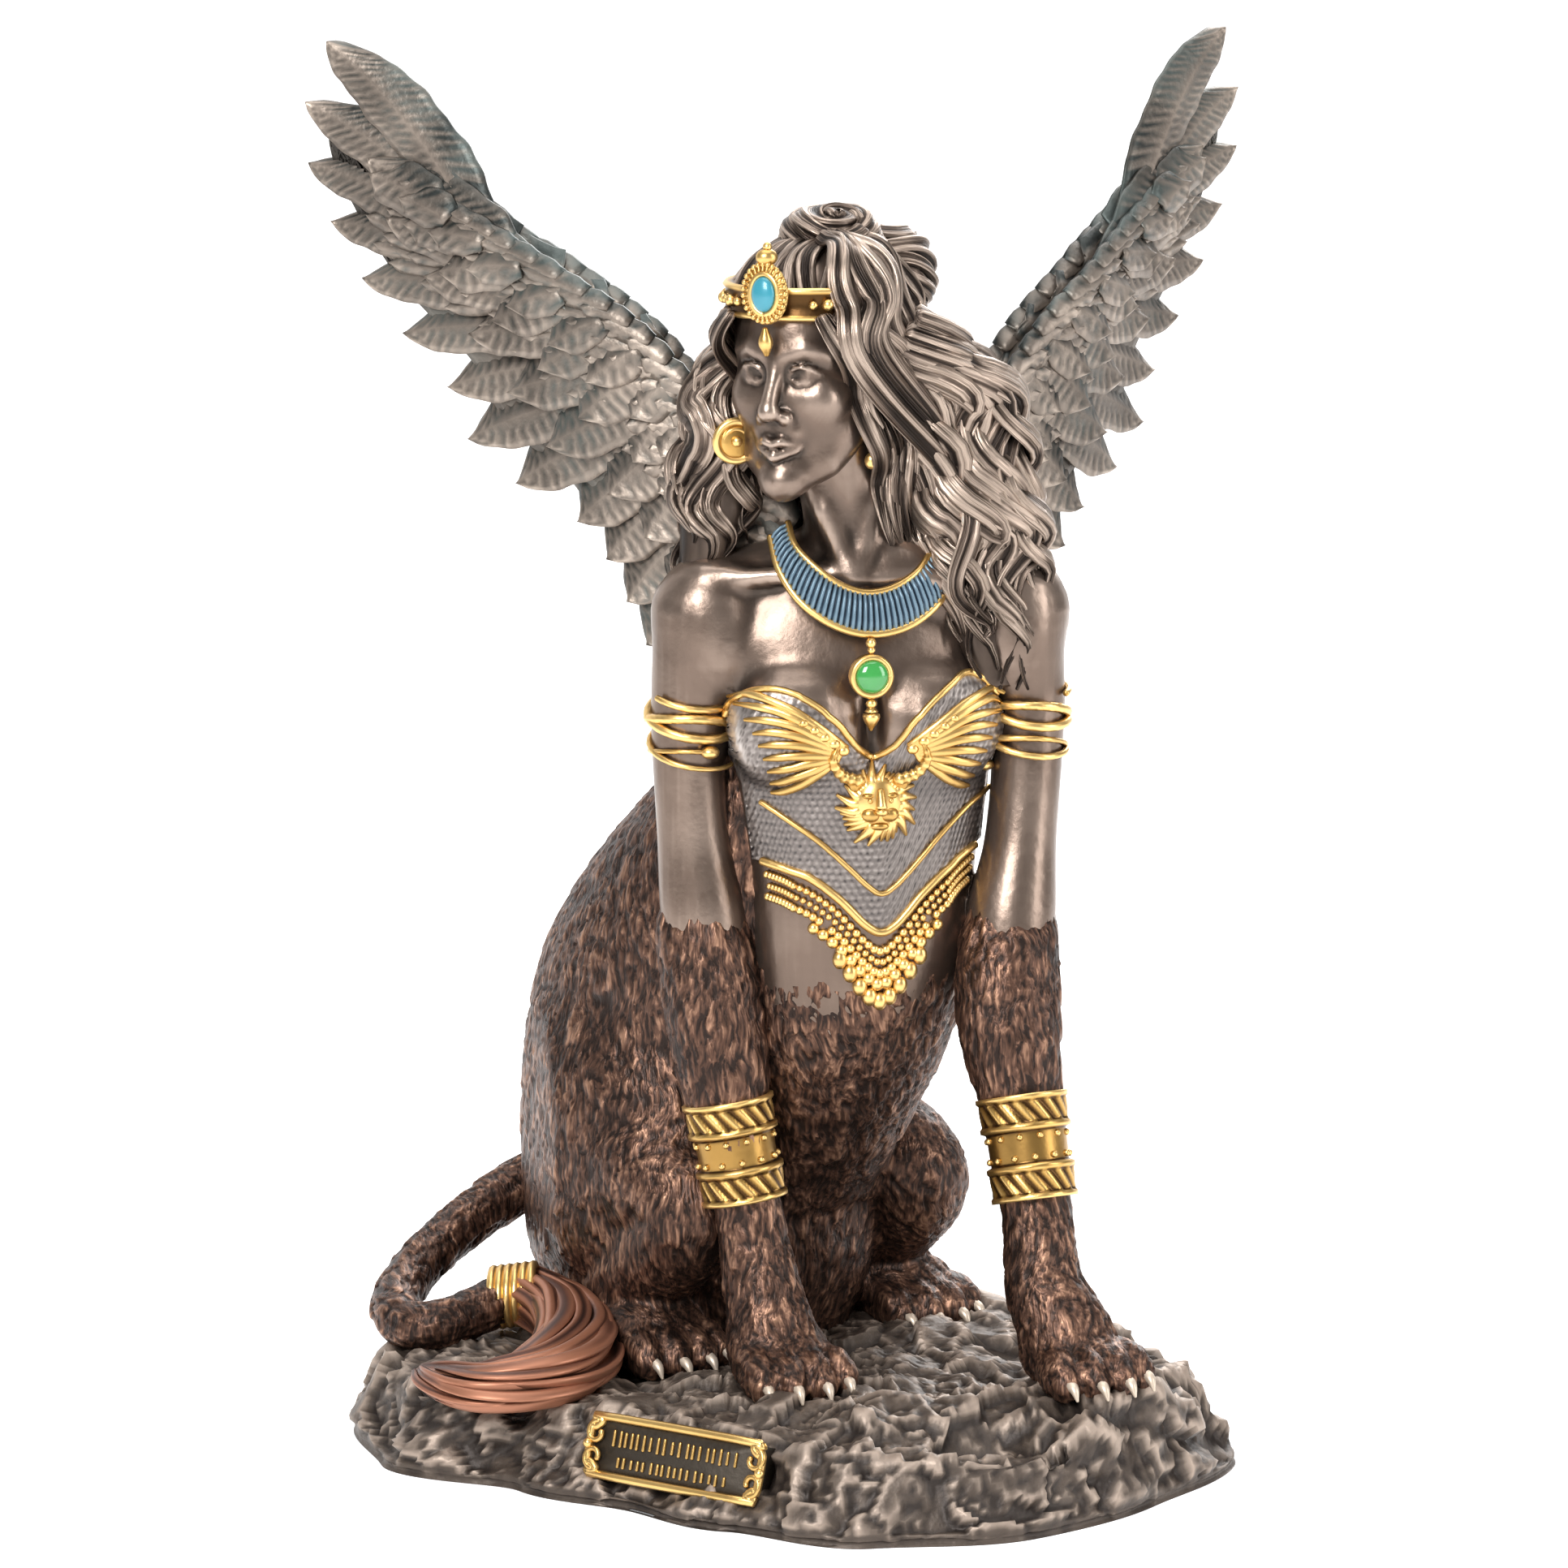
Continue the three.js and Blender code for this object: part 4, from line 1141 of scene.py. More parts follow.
# One closed blade with a shaft, barb grooves and split edges, and the relief of its points.
def feather(
    side, root, tip, width, lift, tilt=1.0, bow=0.06, barb=2.3, across=9, spacing=0.6, thick=0.8, pointed=0.2,
    seed=0
):
    source = np.random.default_rng(seed)
    root, tip = np.array(root, float), np.array(tip, float)
    run = tip - root
    long = float(np.linalg.norm(run))
    ahead = run / long
    beside = np.array([ahead[1], -ahead[0]])
    rows = max(8, int(long / spacing))
    u = (1 - (1 - np.linspace(0, 1, rows)) ** 1.2)[:, None]
    v = np.linspace(-1, 1, across)[None]
    blunt = np.sqrt(np.clip(1 - np.clip((u - 0.55) / 0.45, 0, 1) ** 2.4, 0.0004, 1))
    half = width * (0.55 + 0.45 * smoothstep(0, 0.3, u)) * blunt
    notch = 0.035 * np.sin(u * long / 1.7 + source.uniform(0, 6)) + 0.03 * np.sin(
        u * long / 0.83 + source.uniform(0, 6)
    )
    half = half * (1 + notch * np.abs(v) ** 3)
    x = v * half
    middle = root + ahead * (u * long)[..., None] + beside * (-bow * long * 4 * u * (1 - u))[..., None]
    flat = middle + beside * x[..., None]
    flat = flat - ahead * (pointed * np.abs(x) * smoothstep(0.75, 1.0, u))[..., None]
    phase = (u * long + 0.95 * np.abs(x)) / barb + 0.05 * source.normal()
    shaft = np.exp(-((x / 0.55) ** 2)) * (1 - 0.6 * u)
    ripple = np.sin(2 * np.pi * phase) * smoothstep(0.06, 0.3, np.abs(v)) * smoothstep(1.04, 0.85, np.abs(v))
    arched = lift + tilt * v + 0.75 * (1 - v * v)
    height = arched + 0.6 * shaft + 0.13 * ripple + 0.5 * smoothstep(0.7, 1.0, u)
    facing = 1 if lift >= 0 else -1
    front = onWing(side, flat[..., 0], flat[..., 1], height)
    back = onWing(
        side, flat[..., 0], flat[..., 1],
        height - thick * facing * (0.35 + 0.65 * (1 - v * v)) - 0.15 * facing
    )
    loop = np.concatenate([front, back[:, ::-1]], 1)
    ends = 0.10 * smoothstep(0.8, 1, u)
    relief = np.clip(
        0.38 + 0.2 * ripple + 0.34 * shaft + 0.16 * v + ends - 0.22 * smoothstep(0.3, 0.0, u), 0, 1
    )
    both = np.concatenate([relief, relief[:, ::-1]], 1)
    made = outward(grid(loop))
    return made, np.concatenate([both.ravel(), [0.3, 0.5]])


def makeWing(side, name):
    made = []
    base = 40 if side > 0 else 80

    def row(
        count, reach, width, lift, tilt, spread, start=0.0, barb=2.3, spacing=0.62, across=9, jitter=0.02
    ):
        source = np.random.default_rng(base + int(lift * 10) % 97)
        for i in range(count):
            share = spread * (i + 0.3) / (count - 0.4)
            root = pick(quills, min(share, 1)) if reach > 0.6 else pick(bone, 0.9 * share)
            tip = pick(tips, min(share, 1))
            low = root + (tip - root) * start
            high = root + (tip - root) * (reach + source.uniform(-jitter, jitter))
            made.append(
                feather(
                    side, low, high, width * (1.12 - 0.3 * (i / count)), lift, tilt, 0.05, barb, across,
                    spacing, pointed=0.15 + 0.5 * (i / count), seed=base + i
                )
            )

    # the great quills, then three shorter rows over them, and two shorter rows behind, plainer
    row(14, 0.99, 5.2, 0.2, 1.1, 1.02, jitter=0.004, barb=1.5, spacing=0.75)
    row(10, 0.62, 5.4, 1.7, 1.1, 0.95, spacing=0.7, start=-0.1, barb=1.5)
    row(10, 0.46, 4.8, 2.7, 0.9, 0.92, start=0.05, barb=1.6, spacing=0.7, across=7)
    row(11, 0.3, 3.9, 3.5, 0.8, 0.9, barb=1.7, spacing=0.8, across=7)
    row(9, 0.6, 5.8, -1.6, 0.6, 0.94, start=-0.1, spacing=1.2, across=7)
    row(9, 0.32, 4.4, -2.4, 0.6, 0.84, spacing=1.2, across=7)
    # scale feathers along the bone
    source = np.random.default_rng(base)
    for line in range(5):
        count = 19 - line
        for i in range(count):
            share = 0.88 * (i + 0.5 * (line % 2)) / count
            root = pick(bone, share) + np.array([-0.9, 1.2]) * (1.7 - 1.3 * share) + [1.5 * line, -2.2 * line]
            down, along = unit(pick(tips, share) - pick(bone, share)), unit(
                pick(bone, share + 0.03) - pick(bone, share)
            )
            way = down * (0.3 + 0.1 * line) + along * (0.9 - 0.12 * line) + source.normal(0, 0.05, 2)
            small = 1 - 0.35 * share
            made.append(
                feather(
                    side, root - way * 2, root + way * (7.4 * small), 2.5 * small,
                    4.7 * (1 - 0.6 * share) - 0.45 * line, 0.35, 0.0, 1.5, 5, 0.8, 1.2, 0.3,
                    seed=base + 50 * line + i
                )
            )
            if line < 3:
                made.append(
                    feather(
                        side, root - way * 2, root + way * (7.4 * small), 2.5 * small,
                        -4.6 * (1 - 0.55 * share) + 0.5 * line, 0.5, 0.0, 1.5, 5, 1.3, 1.2, 0.3,
                        seed=base + 50 * line + i
                    )
                )
    arm = []
    for share in np.linspace(0, 0.8, 8):
        at = pick(bone, share)
        arm.append(
            [*onWing(side, np.array(at[0]), np.array(at[1]) - 1.5, 0.3), 5.0 - 4.0 * share, 4.0 - 2.9 * share]
        )
    bar = tube(arm, 20, 60, front=(0, 0, 1))
    made.append((bar, np.full(len(bar[0]), 0.3)))
    # a thin sheet under the blades closes the wing
    share = np.linspace(0, 0.93, 60)
    roots, ends = pick(bone, share), pick(tips, share)
    u = np.linspace(0.0, 0.8, 20)[:, None, None]
    flat = roots[None] + (ends - roots)[None] * u
    front = onWing(side, flat[..., 0], flat[..., 1], 0.3)
    rear = onWing(side, flat[..., 0], flat[..., 1], -0.5)
    sheet = outward(grid(np.concatenate([front, rear[:, ::-1]], 1)))
    made.append((sheet, np.full(len(sheet[0]), 0.36)))
    shape = joined([m[0] for m in made])
    relief = np.concatenate([m[1] for m in made])
    points = shape[0]
    cloud = smoothstep(-0.1, 0.55, noise(points, 11, 6) + 0.4 * noise(points, 4, 7))
    patina = np.clip(0.3 * cloud * smoothstep(0.58, 0.2, relief) + 0.06 * cloud, 0, 0.6)
    makePiece(name, shape, wingBronze, "bronze", relief=relief, patina=patina)


makeWing(-1, "right_wing")
makeWing(1, "left_wing")
print("wings made", parts[-1])


# Jewellery: everything gilt is gathered, then made as one piece
gold = {
    "dark": (0.07, 0.035, 0.012), "main": (0.43, 0.25, 0.07), "bright": (0.82, 0.55, 0.21), "rough": 0.33,
    "metal": 0.95
}
enamel = {
    "dark": (0.01, 0.014, 0.024), "main": (0.028, 0.055, 0.088), "bright": (0.12, 0.185, 0.235),
    "rough": 0.32, "metal": 0.3
}
scaled = {
    "dark": (0.05, 0.045, 0.045), "main": (0.19, 0.165, 0.152), "bright": (0.5, 0.45, 0.42), "rough": 0.42,
    "metal": 0.85
}
plate = {
    "x": -27.5, "y": -40.6, "z": 9.8, "turn": -46, "lean": 17, "width": 36, "height": 11.5,
    "dark": (0.02, 0.016, 0.013), "main": (0.05, 0.04, 0.03), "bright": (0.12, 0.09, 0.06), "rough": 0.5,
    "metal": 0.7
}
stone = {"turquoise": (0.03, 0.22, 0.29), "green": (0.035, 0.24, 0.05)}
gilt = finish("gilt", gold, mottle=0.18)
blueEnamel = finish("blue enamel", enamel, mottle=0.2)
turquoisePaint = plain("turquoise", stone["turquoise"], 0.3, 0.1, 0.3)
greenPaint = plain("green stone", stone["green"], 0.15, 0.0, 0.6)
gilded = []
blue = []


def bead(centre, size, into=None, flat=(1, 1, 1), sides=8, rings=6):
    (gilded if into is None else into).append(
        ball(np.array(centre, float), np.array(flat) * size, sides=sides, rings=rings)
    )


def wire(rows, width, into=None, sides=7, per=3, front=(0, 0, 1), flat=1.0, ribs=None):
    rows = [[*p[:3], (p[3] if len(p) > 3 else width), (p[3] if len(p) > 3 else width) * flat] for p in rows]
    (gilded if into is None else into).append(
        tube(rows, sides, max(6, len(rows) * per), front=front, ribs=ribs)
    )


# The place on the front of the body at x and z, lifted off its skin.
def onBody(x, z, lift=0.0, depth=-40):
    hit, normal, _, _ = bodyTree.ray_cast(Vector((x, depth, z)), Vector((0, 1, 0)))
    if hit is None:
        return np.array([x, -3.0, z]), np.array([0, -1.0, 0])
    return np.array(hit) + np.array(normal) * lift, np.array(normal)


# A wire laid on the body along x and z.
def drawn(pairs, width, lift=0.35, count=30, into=None, flat=1.0, sides=8):
    path = eased(pairs, count)
    wire([onBody(p[0], p[1], lift)[0] for p in path], width, into, sides, 2, (0, -1, 0), flat)


def band():
    angle = np.linspace(0, 2 * np.pi, 160, endpoint=False)
    # the profile of the band: distance out and height
    profile = [
        (-0.9, 8.2), (0.3, 8.0), (0.75, 8.5), (0.3, 9.1), (0.15, 10.7), (0.3, 12.3), (0.75, 12.9),
        (0.3, 13.5), (-0.9, 13.3)
    ]
    rows = []
    for out, z in profile:
        rows.append([onHead([(14.0 + out) * math.cos(a), 1 + (15.8 + out) * math.sin(a), z]) for a in angle])
    gilded.append(outward(grid(np.array(rows))))
    for i in range(38):
        a = 2 * np.pi * (i + 0.5) / 38
        if abs((math.degrees(a) - 270 + 180) % 360 - 180) > 20:
            bead(onHead([14.5 * math.cos(a), 1 + 16.3 * math.sin(a), 10.7]), 0.78 if i % 2 else 1.05)
    # the jewel: a stone in a beaded ring, a fan of petals, a knob above and a drop below
    onBrow = lambda *place: onHead([*place])
    ring = [
        onBrow(2.45 * math.cos(t), -17.5, 12.6 + 3.3 * math.sin(t)) for t in np.linspace(0, 2 * np.pi, 25)
    ]
    wire(ring, 0.6, front=(0.67, -0.74, 0))
    gilded.append(ball(onBrow(0, -16.9, 12.6), (4.1, 1.1, 5.1), face["turn"], 0, 32, 12))
    for t in np.linspace(0, 2 * np.pi, 27, endpoint=False):
        bead(
            onBrow(3.8 * math.cos(t), -17.5, 12.8 + 4.7 * math.sin(t)), 0.52, flat=(1, 0.8, 1), sides=8,
            rings=5
        )
        wire(
            [
                onBrow(2.9 * math.cos(t), -17.7, 12.7 + 3.8 * math.sin(t)),
                onBrow(3.6 * math.cos(t), -17.5, 12.8 + 4.5 * math.sin(t))
            ],
            0.3, sides=6
        )
    bead(onBrow(0, -16.6, 18.6), 1.7, flat=(1.1, 0.9, 0.85), sides=16, rings=10)
    bead(onBrow(0, -16.4, 20.3), 0.8)
    wire(
        [onBrow(0, -17.2, 6.8) + [0.5], onBrow(0, -17.0, 4.6) + [1.25], onBrow(0, -16.6, 2.6) + [0.5]], 1,
        sides=14
    )
    return [ball(onBrow(0, -17.9, 12.6), (2.1, 1.2, 2.9), face["turn"], 0, 28, 18)]


# A broad ribbed ring round the neck, between two gilt wires.
def collar():
    inner = [
        [-1.0, -6.5, 160], [-0.5, -10, 156.6], [2.2, -12.9, 153.4], [6, -14.6, 150.6], [10.4, -15.2, 149.2],
        [15, -14.8, 149.8], [19.4, -13.2, 152], [22.6, -10.5, 155]
    ]
    outer = [
        [-3.8, -6.0, 157.6], [-3.2, -10.2, 152.6], [-0.4, -13.6, 147.8], [4.4, -15.8, 144.2],
        [10.2, -16.4, 142.4], [16.4, -15.8, 143], [21.8, -14.0, 145.6], [26, -11, 149.4]
    ]
    count = 340
    a, b = eased(inner, count), eased(outer, count)
    for edge, size in ((a, 0.62), (b, 0.72)):
        wire([*edge[::9]], size, sides=8, per=2, front=(0, -1, 0))
    rows = []
    i = np.arange(count)
    gap = np.abs(np.sin(np.pi * i / count * 40))
    rib = 0.85 * gap**0.6 - 0.3
    lean = unit(np.cross(b - a, np.gradient(a, axis=0)))
    lean *= np.sign(-lean[:, 1:2])
    for share, lift in ((0, -0.8), (0.02, 0.0), (0.3, 0.55), (0.7, 0.55), (0.98, 0.0), (1, -0.8)):
        middle = a + (b - a) * share
        rows.append(middle + lean * (lift + (rib if 0.01 < share < 0.99 else 0 * rib))[:, None])
    under = [(b + lean * -1.3), (a + lean * -1.3)]
    loop = np.stack([*rows, *under], 1)
    blue.append(outward(grid(loop)))
    return np.concatenate([np.repeat(0.78 * smoothstep(0.2, 0.85, gap), loop.shape[1]), [0.3, 0.3]])


def pendant():
    bead([10.8, -17.3, 141.0], 0.9)
    bead([10.9, -17.2, 139.8], 0.7)
    spot = np.array([10.9, -17.0, 135.4])
    gilded.append(ball(spot + [0, 0.7, 0], (3.7, 1.3, 3.7), 0, 0, 28, 12))
    wire(
        [spot + [3.15 * math.cos(t), -0.5, 3.15 * math.sin(t)] for t in np.linspace(0, 2 * np.pi, 25)], 0.65,
        front=(0, -1, 0)
    )
    bead(spot + [0, -0.3, -4.6], 1.0, flat=(1, 0.8, 0.8))
    wire(
        [[*(spot + [0, -0.2, -5.2]), 0.6], [*(spot + [0, -0.2, -6.8]), 1.5], [*(spot + [0, 0, -9.0]), 0.35]],
        1, sides=14
    )
    return [ball(spot + [0, -0.9, 0], (2.75, 1.35, 2.75), 0, 0, 28, 18)]


# How far out the front of the trunk reaches at z, before the arm or the side begins.
def trunkEdge(z, way):
    deepest, x, last = -99.0, 12.0, 12.0
    while abs(x - 12) < 24.3:
        hit = bodyTree.ray_cast(Vector((x, -40, z)), Vector((0, 1, 0)))[0]
        if hit is None or hit[1] > 4:
            break
        if abs(x - 12) > 15:
            if hit[1] < deepest - 0.4:
                break
            deepest = max(deepest, hit[1])
        last = x
        x += way * 0.4
    return abs(last - 12)


trunkLevels = np.arange(86.0, 142.0, 1.5)
trunkEdges = {
    way: np.convolve(
        np.pad([trunkEdge(z, way) for z in trunkLevels], 1, mode="edge"), [0.25, 0.5, 0.25], "valid"
    )
    for way in (-1, 1)
}


# Draws what lies near the trunk's sides in, so nothing on the chest runs over an arm.
def fitted(x, z):
    way = 1 if x > 12 else -1
    out = abs(x - 12)
    if out <= 13:
        return x
    limit = max(np.interp(z, trunkLevels, trunkEdges[way]) - 0.3, 14)
    return 12 + way * (13 + (out - 13) * (limit - 13) / 11.4)


# A shell over the chest and waist, laid just off the skin, with scales.
def corset():
    columns, rows = 132, 66
    top = eased(
        [
            [-12.6, 128.0], [-9.5, 131.8], [-5, 133.0], [0, 131.4], [5, 127.4], [8.6, 123.2], [11.9, 121.2],
            [15.2, 123.4], [18.6, 127.8], [23.6, 132.4], [28.6, 134.4], [33.2, 133.4], [36.4, 129.0]
        ],
        300
    )
    low = eased(
        [
            [-9.6, 103.4], [-4, 102.6], [1, 101.4], [6, 97.6], [10, 93.4], [12.9, 91.8], [15.8, 93.4],
            [20, 98], [25, 102], [30, 104], [35.2, 105.4]
        ],
        300
    )
    xs = np.linspace(-12.2, 36, columns)
    shares = np.linspace(0, 1, rows)
    front = np.zeros((rows, columns, 3))
    back = np.zeros((rows, columns, 3))
    for j, x in enumerate(xs):
        high = np.interp(x, top[:, 0], top[:, 1])
        foot = np.interp(x, low[:, 0], low[:, 1])
        for i, s in enumerate(shares):
            z = foot + (high - foot) * s
            hit, normal, _, _ = bodyTree.ray_cast(Vector((fitted(x, z), -40, z)), Vector((0, 1, 0)))
            if hit is None or hit[1] > 4:
                p, n = front[i, j - 1] if j else np.array([x, -3.0, z]), np.array([0, -1.0, 0])
                front[i, j], back[i, j] = p, back[i, j - 1] if j else p + [0, 2, 0]
                continue
            p, n = np.array(hit), np.array(normal)
            a, b = x / 1.25, z / 1.15
            column = round(a - 0.5 * (round(b) % 2)) + 0.5 * (round(b) % 2)
            d = math.hypot(a - column, b - round(b))
            scale = 0.27 * max(0.0, 1 - 2.2 * d * d) + 0.12 * (b - round(b))
            front[i, j], back[i, j] = p + n * (0.55 + scale), p - n * 0.6
    loop = np.concatenate([front, back[::-1]], 0)
    points, faces = outward(grid(loop.transpose(1, 0, 2)))
    cavity = ridgesOf((points, faces), 6)
    makePiece("corset", (points, faces), finish("corset", scaled, 0.15), "bronze",
              relief=np.clip(0.44 + 1.8 * cavity, 0, 1))
    drawn([[fitted(*p), p[1]] for p in top[::12]], 0.62, 0.9, 90)
    drawn([[fitted(*p), p[1]] for p in low[::12]], 0.75, 0.9, 90)
    # the inner lines from the armpits to the belt's point
    drawn(
        [
            [-5.6, 113.6], [-1.5, 110.6], [3, 107.2], [7.4, 103], [10.8, 99.6], [13, 98.4], [15.4, 99.8],
            [19, 103.4], [23.4, 108], [28.2, 112], [32.6, 114.4]
        ],
        0.5, 1.0, 60
    )


# A small gilt wing over each breast, its feathers fanned outwards.
def chestWings():
    for side, cx in ((-1, 11.2), (1, 12.6)):
        for i in range(9):
            t = i / 8
            reach = 17.5 - 5.5 * t
            drop = 1.0 + 11.5 * t**1.1
            rows = []
            for u in np.linspace(0, 1, 7):
                x = cx + side * (5.2 + 1.6 * t + reach * u * (0.98 - 0.25 * t))
                z = 123.5 - 1.5 * t + (9.6 - drop) * math.sin(u * 1.75) * 0.98 - 3.2 * t * u
                rows.append([*onBody(x, z, 1.15)[0], 0.95 * (1 - 0.35 * u) * (1 if u < 0.95 else 0.5)])
            wire(rows, 1, sides=8, per=3, front=(0, -1, 0), flat=0.6)
        for i in range(5):
            x = cx + side * (5.6 + 1.6 * i)
            bead(onBody(x, 123.4 + 1.15 * i, 1.4)[0], 1.15 - 0.08 * i, flat=(1, 0.7, 0.8))


# A maned lion's head with two horns, over the middle of the chest.
def mask():
    cx, cz = 12.2, 113.8
    spot = lambda x, z, lift: onBody(cx + x, cz + z, 0)[0] * [1, 0, 1] + [
        0, min(onBody(cx + x, cz + z, 0)[0][1], onBody(cx, cz, 0)[0][1] + 1.5) - lift, 0
    ]
    for i in range(40):
        a = 2 * np.pi * i / 40
        long = (5.9 if i % 2 else 4.9) + 0.7 * math.sin(i * 2.4) + (1.0 if math.sin(a) < 0 else 0.3)
        rows = [
            [*spot(3.0 * math.cos(a), 3.0 * math.sin(a), 1.6), 1.0],
            [*spot(0.62 * long * math.cos(a + 0.12), 0.62 * long * math.sin(a + 0.12), 1.9), 0.95],
            [*spot(long * math.cos(a - 0.06), long * math.sin(a - 0.06), 1.0), 0.3]
        ]
        wire(rows, 1, sides=7, per=3, front=(0, -1, 0))
    gilded.append(ball(spot(0, 0.2, 1.4), (4.2, 2.4, 4.6)))
    for s in (-1, 1):
        gilded.append(ball(spot(s * 1.6, -1.6, 3.0), (1.6, 1.2, 1.3)))
        gilded.append(ball(spot(s * 1.9, 1.6, 2.9), (1.2, 0.9, 0.6)))
        bead(spot(s * 1.75, 0.8, 3.4), 0.5)
        gilded.append(ball(spot(s * 3.9, 3.4, 1.9), (1.2, 0.9, 1.4)))
        horn = [
            [*spot(s * 3.2, 4.0, 2.2), 1.1], [*spot(s * 6.2, 5.0, 2.2), 1.0],
            [*spot(s * 8.0, 7.6, 2.0), 0.75], [*spot(s * 7.2, 10.4, 1.8), 0.3]
        ]
        wire(
            horn, 1, sides=10, per=6, front=(0, -1, 0),
            ribs=lambda angle, share: 1 + 0.14 * np.sin(60 * share) + 0 * angle
        )
    wire([[*spot(0, 2.4, 3.2), 0.7], [*spot(0, 0, 4.2), 0.95], [*spot(0, -0.9, 4.2), 1.1]], 1, sides=10)
    gilded.append(ball(spot(0, -3.6, 2.4), (1.7, 1.1, 0.8)))


# The hanging beads: short rows at the hips and a deeper fall at the middle.
def beads():
    belt = eased(
        [
            [-9.4, 102.2], [-4, 101.4], [1, 99.8], [6, 96.2], [10, 92.0], [12.9, 90.2], [15.8, 92.0],
            [20, 96.6], [25, 100.6], [30, 102.8], [35, 104.2]
        ],
        300
    )
    for line in range(4):
        for i in range(44 if line < 3 else 30):
            x = -9 + 43.6 * (i + 0.5 * (line % 2)) / 44 if line < 3 else 2 + 21.6 * i / 29
            near = math.exp(-((x - 12.9) / 6.5) ** 2)
            z = np.interp(x, belt[:, 0], belt[:, 1]) - 1.9 * (line + 0.55) - 0.6 * near
            if line == 3 and i % 2:
                continue
            if line == 2 and 0.12 < near < 0.3 and i % 2:
                continue
            place, _ = onBody(fitted(x, z), z, 0.45)
            size = (0.72, 0.6, 0.78, 1.05)[line] * (1 + 0.18 * near)
            bead(place, size, sides=8, rings=6)
    for i in range(9):
        x = 6.2 + 13.4 * i / 8
        z = np.interp(x, belt[:, 0], belt[:, 1]) - 8.6 - 1.6 * math.cos((x - 12.9) / 4.6)
        bead(onBody(x, z, 0.8)[0], 1.3, flat=(1, 0.9, 1.25), sides=12, rings=8)


# A serpent wound round an upper arm, its head at one end.
def serpent(centre, radii, z0, z1, lean, turns=2.6, start=0.0):
    for phase in (0, 1):
        winding(
            centre, radii, z0 - 1.5 * phase, z1 + 1.5 * phase, lean, turns * (1 - 0.3 * phase),
            start + 2.4 * phase, 2.9 * phase
        )


def winding(centre, radii, z0, z1, lean, turns, start, phase):
    rows = []
    for t in np.linspace(0, 1, 56):
        a = start + 2 * np.pi * turns * t
        wobble = 1.7 * math.sin(a + phase)
        z = z0 + (z1 - z0) * t + wobble
        x = centre[0] + lean[0] * (t - 0.5) + radii * math.cos(a)
        y = centre[1] + lean[1] * (t - 0.5) + radii * math.sin(a)
        rows.append([x, y, z, 0.42 + 0.42 * math.sin(math.pi * min(1, 0.12 + t))])
    wire(rows, 1, sides=8, per=2, ribs=lambda angle, share: 1 + 0.06 * np.sin(260 * share + 3 * angle))
    end = rows[-1]
    bead(end[:3], 1.5, flat=(1.1, 1, 0.75), sides=12, rings=8)


# Two slanting ribbed bands with rims round a plain studded one.
def cuff(top, foot, radius):
    a, b = np.array(top, float), np.array(foot, float)
    rows, count = [], 50
    axis = unit(b - a)
    across = unit(np.cross([0, -1, 0], axis))
    deep = np.cross(axis, across)
    angle = np.linspace(0, 2 * np.pi, 96, endpoint=False)
    for t in np.linspace(0, 1, count):
        rim = any(abs(t - r) < 0.028 for r in (0.02, 0.3, 0.7, 0.98))
        ribbed = 0.05 < t < 0.27 or 0.73 < t < 0.95
        out = radius - 0.5 * t + (0.55 if rim else 0) + (
            0.28 * np.sin(16 * angle + 30 * t) if ribbed else 0
        ) - (0.35 if 0.33 < t < 0.67 else 0)
        out = out * np.ones_like(angle)
        rows.append(
            a + (b - a) * t + across * (np.cos(angle) * out)[:, None] + deep * (np.sin(angle) * out)[:, None]
        )
    gilded.append(outward(grid(np.array(rows))))
    for i in range(12):
        t = 2 * np.pi * i / 12
        for share in (0.4, 0.6):
            bead(
                a + (b - a) * share + (
                    across * math.cos(t + share) + deep * math.sin(t + share)
                ) * (radius - 0.5),
                0.6, sides=8, rings=5
            )


def earrings():
    spot = np.array([-9.7, -6.0, 173.9])
    for size, width in ((3.3, 0.75), (2.0, 0.5)):
        wire(
            [
                spot + [size * math.cos(t), -0.3 * math.sin(t), size * math.sin(t)]
                for t in np.linspace(0, 2 * np.pi, 25)
            ],
            width, front=(0, -1, 0)
        )
    gilded.append(ball(spot, (2.9, 0.8, 2.9), 0, 0, 20, 10))
    bead(spot + [0, -0.8, 0], 1.0)
    bead(spot + [2.6, 0.4, 3.6], 0.8)
    ear = np.array(onHead([11.4, -0.4, -8.6]))
    for k, size in enumerate((0.9, 0.6, 1.0, 0.6, 1.2)):
        bead(ear + [0, 0, -1.9 * k], size, flat=(1, 1, 1.2))


def tailRing():
    a, b = np.array([-46, 26, 21.6]), np.array([-39.4, 24, 22.6])
    for t in np.linspace(0, 1, 6):
        middle = a + (b - a) * t
        axis = unit(b - a)
        across = unit(np.cross([0, 0, 1], axis))
        deep = np.cross(axis, across)
        rows = [
            middle + across * 5.0 * math.cos(s) + deep * 4.8 * math.sin(s) + axis * 0.5 * math.sin(s)
            for s in np.linspace(0, 2 * np.pi, 30)
        ]
        wire(rows, 0.85, sides=8, front=axis)


